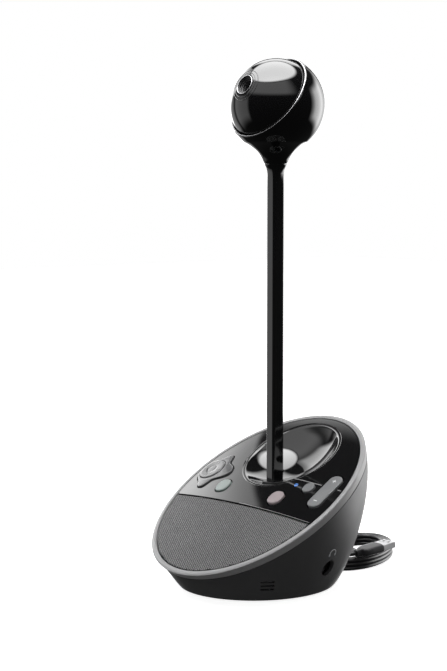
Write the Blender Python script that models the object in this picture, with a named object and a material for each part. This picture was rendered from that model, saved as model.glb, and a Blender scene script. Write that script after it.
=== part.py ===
"""Desktop conference camera: a slanted speaker base, a thin stalk and a ball head that pans and tilts.

Lengths are in millimetres and angles in degrees until the meshes are made, which are in metres.
+Z is up, the front is -Y, and the origin is on the desk under the middle of the base's rim.
"""

import math

import bmesh
import bpy
from mathutils import Matrix, Vector

MM = 0.001
GAP = 0.3

# Colours.
CHARCOAL = (0.035, 0.035, 0.038)
GREY_PLASTIC = (0.12, 0.12, 0.125)
PIANO_BLACK = (0.01, 0.01, 0.011)
BLACK = (0.02, 0.02, 0.02)
GRILLE_GREY = (0.09, 0.09, 0.095)
KEY_GREY = (0.32, 0.33, 0.34)
BOARD_GREEN = (0.02, 0.12, 0.05)
STEEL = (0.55, 0.55, 0.56)
DARK_STEEL = (0.25, 0.25, 0.26)
BRASS = (0.7, 0.6, 0.3)
NYLON = (0.75, 0.75, 0.72)
LIGHT_BLUE = (0.02, 0.15, 0.6)
LENS_COAT = (0.02, 0.03, 0.06)

# Rim: an ellipse in a plane that rises to the back.
RIM_X = 77.0
RIM_Y = 75.0
RIM_Z = 65.6
SLANT = 32.3
SLOPE = RIM_Y / math.cos(math.radians(SLANT))
CROWN = 5.0

# Foot of the wall and the bulge of the wall above it.
FOOT_X = 55.5
FOOT_Y = 59.1
FOOT_BACK = -0.7
FOOT_ROUND = 3.6
FOOT_LOW = 0.8
WALL = 2.5
BAND = 5.5
GROOVE = 0.8

MICROPHONE_AT = (43.6, -31.3, 13.0)
MICROPHONE_SLOTS = (53.0, -38.0)
MICROPHONE_TURN = -35.0
SLOT_HEIGHTS = (10.0, 13.0, 16.0)
JACK_AT = (55.0, 5.2, 21.1)
JACK_TURN = 8.8
JACK_R = 5.4

# Top face.
PANEL_SHARE = 0.945
PANEL_THICK = 2.0
CHORD = -18.4
BOWL_V = 41.5
BOWL_N = 35.7
BOWL_R = 49.0
KEY_PROUD = 0.9
KEY_DEPTH = 3.4
SOCKET_COLLAR = (6.4, 7.6)
SCREWS = ((-11, -3), (11, -3), (-11, 19), (11, 19))

# Inside the base: foot pad, weight, boards and loudspeaker, its profiles as (radius, height).
FOOT_PAD = (46.0, 49.0)
FOOT_PAD_WIDE = 7.0
BOTTOM_PLATE = (51.0, 54.5)
BALLAST_R = 30.0
BOARD_SIZE = (66, 34, 1.6)
BOARD_AT = (0, -28, 12.2)
SPEAKER_V = -48.0
SPEAKER_MAGNET = (11.5, -19.0, -12.3)
SPEAKER_BASKET = [
    (21.5, -0.6), (25, -0.6), (25, -2), (22.4, -2), (13, -12), (5, -12), (5, -10.8), (12.4, -10.8),
]
SPEAKER_CONE = [
    (0, -7.2), (6, -7.6), (18.6, -1.5), (19.5, -0.9), (20.3, -1.5), (18.9, -2.6), (6.5, -8.6), (0, -8.2),
]
SCREW_SHAPE = [(0, 1.3), (2.8, 1.3), (2.8, 2.7), (1.4, 2.7), (1.4, 13.0), (0, 13.0)]

# Keys: the spot on the face, then half width, half length and corner radius.
NAV_SPOT = (-58.6, 10.0)
NAV_R = 10.6
NAV_CUP = 2.5
GIMBAL = (5.0, 7.4)
ZOOM_R = 12.6
ZOOM_LOBES = ((74, 6.4, 20), (3, 8.4, 30), (-78, 6.8, 20))
ZOOM_OFFSET = (1.0, -1.0)
LIGHT_SPOT = (33.0, 10.0)
LIGHT_R = 1.5
MATS = {"key_mat_left": ((-45, 7), (23.5, 18)), "key_mat_right": ((46, 5), (23, 19))}
MAT_LOW = -8.2
MAT_HIGH = -7.0
KEYS = {
    "answer_key": ((-30.5, -5.0), (5.6, 6.4, 5.2)),
    "hangup_key": ((27.0, -6.0), (5.6, 6.4, 5.2)),
    "mute_key": ((45.0, 10.3), (4.3, 4.7, 4.2)),
    "volume_rocker": ((60.2, 11.0), (5.3, 16.5, 5.2)),
}

# Stalk.
STALK_Y = 16.0
STALK_WIDE = 8.0
STALK_DEEP = 10.5
STALK_FOOT = 45.0
STALK_FLARE = 283.0
STALK_TOP_R = 7.9
STALK_BORE = (2.5, 3.0)
FLARE_STEPS = ((STALK_FLARE, 0), (288, 0.12), (291.5, 0.3), (294.5, 0.6), (296.5, 0.85), (297.4, 1))
NECK_SEAM = 298.0
LATCH_LOW = 74.0
LATCH_HIGH = 115.0
LATCH_TAB = 4.5

# Ball head, measured from the ball's centre.
BALL_Z = 339.2
BALL_R = 34.5
SHELL_WALL = 1.1
EYE_R = 32.6
EYE_WALL = 1.6
OPENING_OFF = 8.4
OPENING_UP = 34.0
LENS_UP = 24.0
LENS_R = 7.4
PIN_R = 2.0
NECK_OUTSIDE = [
    (7.9, -41.0), (8.9, -39.5), (10.3, -36.4), (12.5, -33.2), (15.4, -30.6), (18.6, -28.4), (22.5, -26.2),
]
TRIM_SHAPE = [(33.55, 7.7), (33.15, 9.2), (32.3, 9.5), (32.45, 7.7)]
SPINDLE_SHAPE = [
    (0, -58.0), (2.7, -58.0), (2.7, -41.4), (6.1, -41.4),
    (6.1, -35.6), (5.4, -35.6), (5.4, -40.6), (0, -40.6),
]
PAN_MOTOR = (5.0, -40.2, -36.4)
SHAFT_SHAPE = [(0, -36.0), (4.0, -36.0), (4.0, -35.0), (1.6, -35.0), (1.6, -33.6), (0, -33.6)]
BARREL_SHAPE = [(0, -11), (7, -11), (7, 26.5), (5.6, 26.5), (5.6, 20), (3.2, 17), (0, 17)]
BEZEL_SHAPE = [
    (5.2, 27.0), (7.3, 27.0), (7.3, 31.8), (6.7, 32.4), (6.1, 31.6), (5.7, 30.0), (5.2, 28.6),
]
GLASS_SHAPE = [(0, 17.4), (2.9, 17.4), (5.2, 20.4), (5.2, 24.4), (3.0, 25.6), (0, 26.0)]
SENSOR_BOARD = (14, 14, 1.4)
TILT_MOTOR = [(0, 7.6), (4.5, 7.6), (4.5, 19.2), (0.8, 19.2), (0.8, 23.4), (0, 23.4)]

# Tilt gears.
MODULE = 0.5
GEAR_TEETH = 30
PINION_TEETH = 12
PRESSURE = 25.0
GEAR_X = 20.0
GEAR_WIDE = 3.0

# Cable.
CABLE_R = 1.5
GLAND_X = -28.0
GLAND_Z = 8.8
GLAND_SHAPE = [(0, 40), (4.2, 40), (4.2, 43), (3.0, 43), (3.0, 60), (2.2, 66), (0, 66)]
COIL_CENTRE = (-13.0, 110.0)
COIL_LONG = 50.0
COIL_SHORT = 28.0
COIL_TURN = 120.0
COIL_WIDE = 9.8
COIL_HIGH = 9.0
PLUG_START = Vector((18.4, 80.0, 12.4))
PLUG_AIM = Vector((0.03, 0.996, 0.08)).normalized()
PLUG_SECTIONS = ((0, 2.4, 2.4), (5, 2.9, 2.6), (5.6, 5.2, 2.9), (8, 6.6, 3.1), (12, 7.0, 3.2), (23, 7.0, 3.2))
CABLE_IN = [
    (-28.0, 66.5, 8.8),
    (-28.3, 72.0, 7.9),
    (-29.6, 78.0, 5.4),
    (-32.4, 84.0, 3.0),
    (-36.2, 89.6, 1.9),
    (-39.9, 94.6, 1.7),
    (-43.4, 102.8, 1.7),
    (-46.3, 111.1, 1.7),
    (-48.5, 119.1, 1.7),
]
CABLE_OUT = [
    (-3.0, 80.5, 11.0),
    (-1.4, 75.0, 11.0),
    (2.6, 71.2, 11.1),
    (7.8, 69.8, 11.4),
    (13.0, 71.2, 11.8),
    (16.8, 74.8, 12.1),
    (18.2, 77.6, 12.25),
    (18.4, 79.4, 12.36),
]


def clear_scene():
    for item in list(bpy.data.objects):
        bpy.data.objects.remove(item)


def make_material(name, colour, roughness, metallic=0.0):
    material = bpy.data.materials.new(name)
    material.use_nodes = True
    shader = material.node_tree.nodes["Principled BSDF"]
    shader.inputs["Base Color"].default_value = (*colour, 1.0)
    shader.inputs["Roughness"].default_value = roughness
    shader.inputs["Metallic"].default_value = metallic
    return material


def add_piece(name, mesh, colour, roughness=0.5, metallic=0.0, origin=(0, 0, 0), cutter=False):
    """Turns a bmesh in millimetres into an object in metres, with its origin where it turns or slides."""
    bmesh.ops.translate(mesh, verts=mesh.verts, vec=-Vector(origin))
    bmesh.ops.scale(mesh, verts=mesh.verts, vec=(MM, MM, MM))
    data = bpy.data.meshes.new(name)
    mesh.to_mesh(data)
    mesh.free()
    if not cutter:
        data.materials.append(make_material(name, colour, roughness, metallic))
        data.shade_smooth()
        data.set_sharp_from_angle(angle=math.radians(35))
    piece = bpy.data.objects.new(name, data)
    piece.location = Vector(origin) * MM
    bpy.context.collection.objects.link(piece)
    return piece


def combine(target, mesh, operation="DIFFERENCE"):
    """Cuts a bmesh from a piece, or joins or intersects it with the piece."""
    tool = add_piece(f"{target.name}_tool_{len(target.modifiers)}", mesh, None, cutter=True)
    tool.hide_render = True
    tool.display_type = "WIRE"
    modifier = target.modifiers.new(operation.title(), "BOOLEAN")
    modifier.operation = operation
    modifier.object = tool
    return target


def closed(mesh):
    bmesh.ops.remove_doubles(mesh, verts=mesh.verts, dist=0.001)
    bmesh.ops.recalc_face_normals(mesh, faces=mesh.faces)
    return mesh


def moved(mesh, matrix):
    bmesh.ops.transform(mesh, matrix=matrix, verts=mesh.verts)
    return mesh


def lathe(profile, steps=32, ring=True):
    """Turns a profile of (radius, height) about Z; a ring closes on itself, any other ends on the axis."""
    mesh = bmesh.new()
    points = [mesh.verts.new((radius, 0, height)) for radius, height in profile]
    edges = [mesh.edges.new(pair) for pair in zip(points, points[1:])]
    if ring:
        edges.append(mesh.edges.new((points[-1], points[0])))
    bmesh.ops.spin(
        mesh,
        geom=points + edges,
        cent=(0, 0, 0),
        axis=(0, 0, 1),
        angle=math.tau,
        steps=steps,
        use_merge=True,
    )
    return closed(mesh)


def loft(sections, cyclic=False):
    """Skins a row of loops that have the same number of points."""
    mesh = bmesh.new()
    rings = [[mesh.verts.new(point) for point in section] for section in sections]
    count = len(rings[0])
    pairs = list(zip(rings, rings[1:])) + ([(rings[-1], rings[0])] if cyclic else [])
    for low, high in pairs:
        for k in range(count):
            mesh.faces.new((low[k], low[(k + 1) % count], high[(k + 1) % count], high[k]))
    if not cyclic:
        mesh.faces.new(rings[0])
        mesh.faces.new(rings[-1])
    return closed(mesh)


def prism(outline, low, high):
    return loft([[(x, y, z) for x, y in outline] for z in (low, high)])


def box(size, centre):
    mesh = bmesh.new()
    bmesh.ops.create_cube(mesh, size=1, matrix=Matrix.Translation(centre) @ Matrix.Diagonal((*size, 1)))
    return mesh


def disc(radius, low, high, steps=32):
    return lathe([(0, low), (radius, low), (radius, high), (0, high)], steps, ring=False)


def ellipse(half_x, half_y, steps, centre=(0, 0)):
    turns = [math.tau * k / steps for k in range(steps)]
    return [(centre[0] + half_x * math.cos(a), centre[1] + half_y * math.sin(a)) for a in turns]


def rounded(half_x, half_y, corner, centre=(0, 0), steps=4):
    """A rectangle with round corners, counted from +X."""
    points = []
    for turn, (side_x, side_y) in enumerate(((1, 1), (-1, 1), (-1, -1), (1, -1))):
        for k in range(steps + 1):
            angle = math.radians(90 * (turn + k / steps))
            points.append(
                (
                    centre[0] + side_x * (half_x - corner) + corner * math.cos(angle),
                    centre[1] + side_y * (half_y - corner) + corner * math.sin(angle),
                )
            )
    return points


def divided(outline, gap):
    """The same outline with points added along sides longer than the gap."""
    points = []
    for start, end in zip(outline, [*outline[1:], outline[0]]):
        start, end = Vector(start), Vector(end)
        count = math.ceil((end - start).length / gap)
        points += [start.lerp(end, k / count) for k in range(count)]
    return points


def arc(radius, start, end, steps):
    """Points on a circle about the origin, by angle from the horizontal."""
    angles = [math.radians(start + (end - start) * k / steps) for k in range(steps + 1)]
    return [(radius * math.cos(a), radius * math.sin(a)) for a in angles]


def aim(place, direction, up=(0, 0, 1)):
    """A frame at a place whose Z runs along a direction."""
    along = Vector(direction).normalized()
    side = Vector(up).cross(along).normalized()
    rows = Matrix((side, along.cross(side), along)).transposed().to_4x4()
    return Matrix.Translation(place) @ rows


# ---- the slanted face --------------------------------------------------------------------------


def face_point(x, v, n=0.0):
    """A point of the slanted face: x across, v up the slope, n above the rim's plane."""
    lean = math.radians(SLANT)
    return Vector(
        (x, v * math.cos(lean) - n * math.sin(lean), RIM_Z + v * math.sin(lean) + n * math.cos(lean))
    )


def dome(x, v):
    """Height of the crowned face above the rim's plane."""
    return CROWN * (1 - (x / RIM_X) ** 2 - (v / SLOPE) ** 2)


def face_frame(x, v):
    """A frame on the crowned face, X across and Z out of it."""
    across = Vector((1, 0, -2 * CROWN * x / RIM_X**2))
    along = Vector((0, 1, -2 * CROWN * v / SLOPE**2))
    out = across.cross(along).normalized()
    across.normalize()
    rows = Matrix((across, out.cross(across), out)).transposed().to_4x4()
    tilt = Matrix.Rotation(math.radians(SLANT), 4, "X")
    return Matrix.Translation(face_point(x, v, dome(x, v))) @ tilt @ rows


def face_slab(share, top, thick, rings=3, steps=44):
    """A crowned plate over the whole face, its edge at a share of the rim."""
    mesh = bmesh.new()
    hub = mesh.verts.new(face_point(0, 0, dome(0, 0) + top))
    loops = []
    for j in range(1, rings + 1):
        spots = ellipse(share * RIM_X * j / rings, share * SLOPE * j / rings, steps)
        loops.append([mesh.verts.new(face_point(x, v, dome(x, v) + top)) for x, v in spots])
    for k in range(steps):
        mesh.faces.new((hub, loops[0][k - 1], loops[0][k]))
        for inner, outer in zip(loops, loops[1:]):
            mesh.faces.new((inner[k - 1], outer[k - 1], outer[k], inner[k]))
    lower = bmesh.ops.extrude_face_region(mesh, geom=mesh.faces[:])["geom"]
    drop = (face_point(0, 0) - face_point(0, 0, 1)) * thick
    bmesh.ops.translate(mesh, verts=[g for g in lower if isinstance(g, bmesh.types.BMVert)], vec=drop)
    return closed(mesh)


def face_box(x_low, x_high, v_low, v_high, n_low, n_high):
    """A block squared to the slanted face."""
    middle = ((x_low + x_high) / 2, (v_low + v_high) / 2, (n_low + n_high) / 2)
    tilt = Matrix.Translation(face_point(*middle)) @ Matrix.Rotation(math.radians(SLANT), 4, "X")
    return moved(box((x_high - x_low, v_high - v_low, n_high - n_low), (0, 0, 0)), tilt)


def bowl_body(radius, top, steps=28):
    """The sphere that the ball head docks in, open upwards past the face, as a solid."""
    reach = math.degrees(math.acos((BOWL_N - top) / radius))
    profile = [(r, BOWL_N + h) for r, h in arc(radius, -90, reach - 90, 6)]
    profile[0] = (0, profile[0][1])
    lift = profile[-1][1] + 8
    profile += [(profile[-1][0] + 3, lift), (0, lift)]
    tilt = Matrix.Translation(face_point(0, BOWL_V)) @ Matrix.Rotation(math.radians(SLANT), 4, "X")
    return moved(lathe(profile, steps, ring=False), tilt)


# ---- the base ----------------------------------------------------------------------------------


def wall_point(angle, share):
    """A point of the base's wall: share 0 is the foot's edge and 1 the rim."""
    c, s = math.cos(angle), math.sin(angle)
    rim = Vector((RIM_X * c, RIM_Y * s, RIM_Z + RIM_Y * s * math.tan(math.radians(SLANT))))
    spread = 1.2 + 2.1 * s
    bulge = -1.2 - 11.2 * s * (1 - 0.78 * max(s, 0) ** 8)
    height = 0.37 + 0.04 * s
    foot = Vector(((FOOT_X - FOOT_ROUND) * c, FOOT_BACK + (FOOT_Y - FOOT_ROUND) * s, 0))
    low = Vector(((FOOT_X + spread) * c, FOOT_BACK + (FOOT_Y + spread) * s, 0))
    high = rim - Vector((bulge * c, bulge * s, height * rim.z))
    t, u = share, 1 - share
    return u**3 * foot + 3 * u * u * t * low + 3 * u * t * t * high + t**3 * rim


def share_where(angle, test):
    """The lowest share of the wall at which a test holds."""
    low, high = 0.0, 1.0
    for _ in range(30):
        middle = (low + high) / 2
        if test(wall_point(angle, middle)):
            high = middle
        else:
            low = middle
    return high


def share_below_rim(angle, drop):
    rim = wall_point(angle, 1)
    return share_where(angle, lambda point: (rim - point).length < drop)


def inward(point, depth):
    away = Vector((point.x, point.y - FOOT_BACK, 0)).normalized()
    return point - away * depth


def base_housing(steps=44, levels=5):
    sections = []
    for k in range(steps):
        angle = math.tau * k / steps
        low = share_where(angle, lambda point: point.z > FOOT_LOW)
        high = share_below_rim(angle, BAND + GROOVE)
        outer = [wall_point(angle, low + (high - low) * j / levels) for j in range(levels + 1)]
        inner = [inward(point, WALL) for point in outer]
        sections.append(outer + inner[::-1])
    housing = add_piece("base_housing", loft(sections, cyclic=True), CHARCOAL, 0.45)
    combine(housing, moved(disc(JACK_R + GAP, -3, 20, 24), jack_frame()))
    for height in SLOT_HEIGHTS:
        slot = box((14, 9.5, 1.4), (0, 0, 0))
        place = Matrix.Translation((*MICROPHONE_SLOTS, height))
        place @= Matrix.Rotation(math.radians(MICROPHONE_TURN), 4, "Z")
        combine(housing, moved(slot, place))
    combine(housing, moved(disc(3.3, 36, 75, 20), gland_frame()))
    return housing


def jack_frame():
    """Z points out of the headphone jack, from just inside the wall."""
    turn = math.radians(JACK_TURN)
    return aim(JACK_AT, (math.cos(turn), math.sin(turn), 0))


def gland_frame():
    return aim((GLAND_X, 0, GLAND_Z), (0, 1, 0))


def rim_ring(steps=44):
    sections = []
    for k in range(steps):
        angle = math.tau * k / steps
        c, s = math.cos(angle), math.sin(angle)
        low = share_below_rim(angle, BAND)
        lip = wall_point(angle, low)
        middle = wall_point(angle, (1 + low) / 2)
        edge = face_point(0.99 * RIM_X * c, 0.99 * SLOPE * s, 0.5)
        x, v = 0.955 * RIM_X * c, 0.955 * SLOPE * s
        seat = face_point(x, v, dome(x, v))
        sections.append([lip, middle, wall_point(angle, 1), edge, seat, inward(lip, 2.2)])
    return add_piece("rim_ring", loft(sections, cyclic=True), GREY_PLASTIC, 0.4)


def top_panel():
    panel = add_piece("top_panel", bowl_body(BOWL_R + 2, -1), PIANO_BLACK, 0.12)
    combine(panel, face_slab(PANEL_SHARE, 0, 60), "INTERSECT")
    combine(panel, face_slab(PANEL_SHARE, 0, PANEL_THICK), "UNION")
    combine(panel, bowl_body(BOWL_R, 5))
    combine(panel, face_box(-90, 90, -100, CHORD, -30, 20))
    half_x, half_y = SOCKET_COLLAR
    combine(panel, prism(rounded(half_x + GAP, half_y + GAP, 2.5, (0, STALK_Y)), 50, 80))
    for outline, frame in key_holes():
        combine(panel, moved(prism(outline, -12, 6), frame))
    return panel


def speaker_grille():
    grille = add_piece("speaker_grille", face_slab(PANEL_SHARE, 0, 1.4), GRILLE_GREY, 0.6)
    return combine(grille, face_box(-90, 90, CHORD - 2 * GAP, 100, -30, 20))


def speaker_frame():
    """Z along the speaker's axis, out through the grille."""
    tilt = Matrix.Rotation(math.radians(SLANT), 4, "X")
    return Matrix.Translation(face_point(0, SPEAKER_V)) @ tilt


def speaker():
    solids = {
        "speaker_basket": (lathe(SPEAKER_BASKET, 24), BLACK, 0.5),
        "speaker_cone": (lathe(SPEAKER_CONE, 24, ring=False), CHARCOAL, 0.8),
        "speaker_magnet": (disc(*SPEAKER_MAGNET, 24), DARK_STEEL, 0.4),
    }
    for name, (mesh, colour, roughness) in solids.items():
        add_piece(name, moved(mesh, speaker_frame()), colour, roughness)


def bottom_pieces():
    centre = (0, FOOT_BACK)
    plate = prism(ellipse(*BOTTOM_PLATE, 40, centre), 1.9, 4.2)
    plate = add_piece("bottom_plate", plate, CHARCOAL, 0.6)
    half_x, half_y = FOOT_PAD
    pad = add_piece("foot_ring", prism(ellipse(half_x, half_y, 36, centre), 0, 1.6), BLACK, 0.9)
    combine(pad, prism(ellipse(half_x - FOOT_PAD_WIDE, half_y - FOOT_PAD_WIDE, 36, centre), -2, 4))
    ballast = add_piece("ballast_plate", disc(BALLAST_R, 4.6, 9.0), DARK_STEEL, 0.5, 0.8)
    for index, (x, y) in enumerate(SCREWS, 1):
        spot = Matrix.Translation((x, y, 0))
        for holder in (plate, ballast):
            combine(holder, moved(disc(1.8, 0, 12, 12), spot))
        combine(plate, moved(disc(3.2, 0, 3.0, 12), spot))
        screw = moved(lathe(SCREW_SHAPE, 12, ring=False), spot)
        add_piece(f"bottom_screw_{index}", screw, STEEL, 0.35, 1.0)


def stalk_socket():
    """A column from the ballast to the bowl, with a pocket for the stalk and a flange for the screws."""
    half_x, half_y = SOCKET_COLLAR
    column = add_piece("stalk_socket", box((30, 30, 6), (0, STALK_Y - 8, 12.4)), BLACK, 0.4)
    combine(column, prism(rounded(half_x + 2, half_y + 2, 3, (0, STALK_Y)), 14, 64.5), "UNION")
    combine(column, prism(rounded(half_x, half_y, 2.2, (0, STALK_Y)), 60, 71.5), "UNION")
    pocket_x, pocket_y = STALK_WIDE / 2 + GAP, STALK_DEEP / 2 + GAP
    combine(column, prism(rounded(pocket_x, pocket_y, 2.2, (0, STALK_Y)), 34, 80))
    for x, y in SCREWS:
        combine(column, moved(disc(1.75, 0, 14, 12), Matrix.Translation((x, y, 0))))


def circuit_boards():
    add_piece("main_board", box(BOARD_SIZE, BOARD_AT), BOARD_GREEN, 0.5)
    chip = box((12, 12, 1.4), (BOARD_AT[0] - 22, BOARD_AT[1], BOARD_AT[2] + 1.8))
    add_piece("usb_controller", chip, BLACK, 0.5)


def jack_socket():
    sleeve = lathe([(1.8, -11), (JACK_R, -11), (JACK_R, 3.6), (1.8, 3.6)], 20)
    add_piece("headphone_jack", moved(sleeve, jack_frame()), BLACK, 0.4)


def microphone():
    capsule = moved(disc(4.6, 0, 3.5, 20), aim(MICROPHONE_AT, (*MICROPHONE_SLOTS, 0)))
    add_piece("microphone_capsule", capsule, STEEL, 0.4, 0.8)


# ---- the keys ----------------------------------------------------------------------------------


def zoom_outline(grow=0.0, steps=40):
    """Three soft lobes round the navigation pad."""
    points = []
    for k in range(steps):
        angle = 360 * k / steps - 180
        lobes = sum(high * math.exp(-(((angle - at) / wide) ** 2)) for at, high, wide in ZOOM_LOBES)
        spoke = Vector((math.cos(math.radians(angle)), math.sin(math.radians(angle))))
        points.append(Vector(ZOOM_OFFSET) + spoke * (ZOOM_R + grow + lobes))
    return points


def key_holes():
    """The outline and the frame of each hole in the panel."""
    light = ellipse(LIGHT_R + GAP, LIGHT_R + GAP, 16)
    holes = [(zoom_outline(GAP), face_frame(*NAV_SPOT)), (light, face_frame(*LIGHT_SPOT))]
    for spot, (half_x, half_v, corner) in KEYS.values():
        outline = rounded(half_x + GAP, half_v + GAP, corner + GAP)
        holes.append((outline, face_frame(*spot)))
    return holes


def key_solid(outline, flange, frame):
    """A cap that stands proud of the panel, on a wider flange that holds it in from below."""
    cap = prism(outline, -KEY_DEPTH, KEY_PROUD)
    wide = [(x * flange, y * flange) for x, y in outline]
    low = prism(wide, -KEY_DEPTH - 0.8, -KEY_DEPTH + 0.2)
    return moved(cap, frame), moved(low, frame)


def keys():
    for name, (spot, (half_x, half_v, corner)) in KEYS.items():
        frame = face_frame(*spot)
        outline = rounded(half_x, half_v, corner)
        cap, flange = key_solid(outline, 1.14, frame)
        key = add_piece(name, cap, KEY_GREY, 0.35, origin=frame.translation)
        combine(key, flange, "UNION")
    frame = face_frame(*NAV_SPOT)
    hinge = frame @ Vector((0, 0, -KEY_DEPTH))
    cap, flange = key_solid(zoom_outline(), 1.05, frame)
    rocker = add_piece("zoom_rocker", cap, KEY_GREY, 0.35, origin=hinge)
    combine(rocker, flange, "UNION")
    combine(rocker, moved(disc(NAV_R + 1.5 * GAP, -NAV_CUP, 6, 28), frame))
    combine(rocker, moved(disc(GIMBAL[1] + GAP, -10, 6, 24), frame))
    pad = lathe([(0, -1.6), (NAV_R, -1.6), (NAV_R, 1.2), (NAV_R - 1, 1.7), (0, 1.9)], 28, ring=False)
    add_piece("navigation_pad", moved(pad, frame), KEY_GREY, 0.35, origin=hinge)
    inner, outer = GIMBAL
    gimbal = lathe([(inner, -4.4), (outer, -4.4), (outer, -2.6), (inner, -2.6)], 24)
    add_piece("navigation_gimbal", moved(gimbal, frame), BLACK, 0.6, origin=hinge)
    light = disc(LIGHT_R, -5, 0.25, 16)
    add_piece("light_pipe", moved(light, face_frame(*LIGHT_SPOT)), LIGHT_BLUE, 0.2)


def key_mats():
    """Rubber mats with the domes that push the keys back up."""
    for name, (spot, (half_x, half_v)) in MATS.items():
        mat = moved(prism(rounded(half_x, half_v, 6), MAT_LOW, MAT_HIGH), face_frame(*spot))
        mat = add_piece(name, mat, GREY_PLASTIC, 0.8)
        combine(mat, bowl_body(BOWL_R + 2.6, 5))


# ---- the stalk ---------------------------------------------------------------------------------


def stalk_sections():
    plain = divided(rounded(STALK_WIDE / 2, STALK_DEEP / 2, 2, (0, STALK_Y), steps=3), 2.2)
    sections = []
    for height, blend in ((STALK_FOOT, 0), *FLARE_STEPS):
        wide = 5.0 + (STALK_TOP_R - 5.0) * blend
        section = []
        for x, y in plain:
            angle = math.atan2(y - STALK_Y, x)
            away = math.hypot(x, y - STALK_Y)
            radius = away + (wide - away) * min(1, 1.2 * blend) if height > STALK_FLARE else away
            section.append((radius * math.cos(angle), STALK_Y + radius * math.sin(angle), height))
        sections.append(section)
    return sections


def stalk():
    foot = (0, STALK_Y, STALK_FOOT)
    middle = (0, STALK_Y - 0.6)
    post = add_piece("stalk_tube", loft(stalk_sections()), BLACK, 0.15, origin=foot)
    combine(post, prism(rounded(*STALK_BORE, 1.2, middle), 40, 281))
    combine(post, moved(disc(3.0, 279, 300, 24), Matrix.Translation((0, STALK_Y, 0))))
    back = STALK_Y + STALK_DEEP / 2
    recess = (5.4, 3.2, LATCH_HIGH - LATCH_LOW + 1)
    combine(post, box(recess, (0, back, (LATCH_LOW + LATCH_HIGH) / 2)))
    plug = prism(rounded(STALK_BORE[0] - 0.4, STALK_BORE[1] - 0.4, 1, middle), 42, 50)
    add_piece("stalk_plug", plug, BRASS, 0.4, 0.8, origin=foot)
    harness = moved(disc(1.3, 50.4, 278, 12), Matrix.Translation((*middle, 0)))
    add_piece("stalk_harness", harness, BLACK, 0.6, origin=foot)
    inside, outside, tab = back - 0.75, back + 0.9, LATCH_LOW + LATCH_TAB
    side = [(inside, LATCH_LOW), (outside, LATCH_LOW + 1.5), (outside, tab - 1.3)]
    side += [(outside + 0.6, tab - 0.7), (outside + 0.6, tab + 0.7), (outside, tab + 1.3)]
    side += [(outside, LATCH_HIGH - 4), (inside, LATCH_HIGH)]
    latch = loft([[(x, y, z) for y, z in side] for x in (-2.3, 2.3)])
    add_piece("stalk_latch", latch, BLACK, 0.3, origin=(0, back, LATCH_LOW))


# ---- the head ----------------------------------------------------------------------------------


def ball_frame(lift=0.0, turn=0.0):
    """The ball's centre; Z points forward and up by the given angle."""
    rise = math.radians(lift)
    frame = aim((0, STALK_Y, BALL_Z), (0, -math.cos(rise), math.sin(rise)), up=(-1, 0, 0))
    return frame @ Matrix.Rotation(math.radians(turn), 4, "Z")


BALL = Vector((0, STALK_Y, BALL_Z))


def head_shell():
    """The ball and its neck, turned about the pan axis and cut off along the slanted opening."""
    inner = BALL_R - SHELL_WALL
    profile = [(0, inner)] + arc(inner, 75, -82, 10) + [(2.0, -inner + 0.1), (2.0, -34.6)]
    profile += [(6.5, -34.6), (6.5, NECK_OUTSIDE[0][1])] + NECK_OUTSIDE
    profile += arc(BALL_R, -44, 75, 9) + [(0, BALL_R)]
    shell = moved(lathe(profile, 32, ring=False), Matrix.Translation(BALL))
    shell = add_piece("head_shell", shell, PIANO_BLACK, 0.08, origin=BALL)
    away = box((90, 90, 60), (0, 0, OPENING_OFF - 1.0 + 30))
    combine(shell, moved(away, ball_frame(OPENING_UP)))
    trim = moved(lathe(TRIM_SHAPE, 44), ball_frame(OPENING_UP))
    add_piece("opening_trim", trim, STEEL, 0.2, 0.9, origin=BALL)


def pan_drive():
    origin = (0, STALK_Y, NECK_SEAM)
    centre = Matrix.Translation(BALL)
    spindle = moved(lathe(SPINDLE_SHAPE, 24, ring=False), centre)
    add_piece("pan_spindle", spindle, DARK_STEEL, 0.3, 0.9, origin=origin)
    motor = moved(disc(*PAN_MOTOR, 28), centre)
    add_piece("pan_motor", motor, STEEL, 0.3, 0.9, origin=origin)
    shaft = moved(lathe(SHAFT_SHAPE, 24, ring=False), centre)
    add_piece("pan_shaft", shaft, STEEL, 0.3, 1.0, origin=BALL)


def eye():
    """The inner ball: turned about the lens axis, with the lens hole in front and a cable hole behind."""
    front = math.degrees(math.acos((LENS_R + GAP) / EYE_R))
    back = math.degrees(math.acos(8.0 / EYE_R))
    profile = arc(EYE_R, front, -back, 12) + arc(EYE_R - EYE_WALL, -back, front, 10)
    frame = ball_frame(LENS_UP)
    shell = add_piece("eye_shell", moved(lathe(profile, 32), frame), PIANO_BLACK, 0.06, origin=BALL)
    combine(shell, moved(disc(PIN_R + GAP, -40, 40, 20), aim(BALL, (1, 0, 0))))
    barrel = moved(lathe(BARREL_SHAPE, 24, ring=False), frame)
    add_piece("lens_barrel", barrel, BLACK, 0.3, origin=BALL)
    add_piece("lens_bezel", moved(lathe(BEZEL_SHAPE, 28), frame), STEEL, 0.2, 0.9, origin=BALL)
    glass = moved(lathe(GLASS_SHAPE, 20, ring=False), frame)
    add_piece("lens_glass", glass, LENS_COAT, 0.02, origin=BALL)
    board = moved(box(SENSOR_BOARD, (0, 0, -12.2)), frame)
    add_piece("sensor_board", board, BOARD_GREEN, 0.5, origin=BALL)


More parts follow.
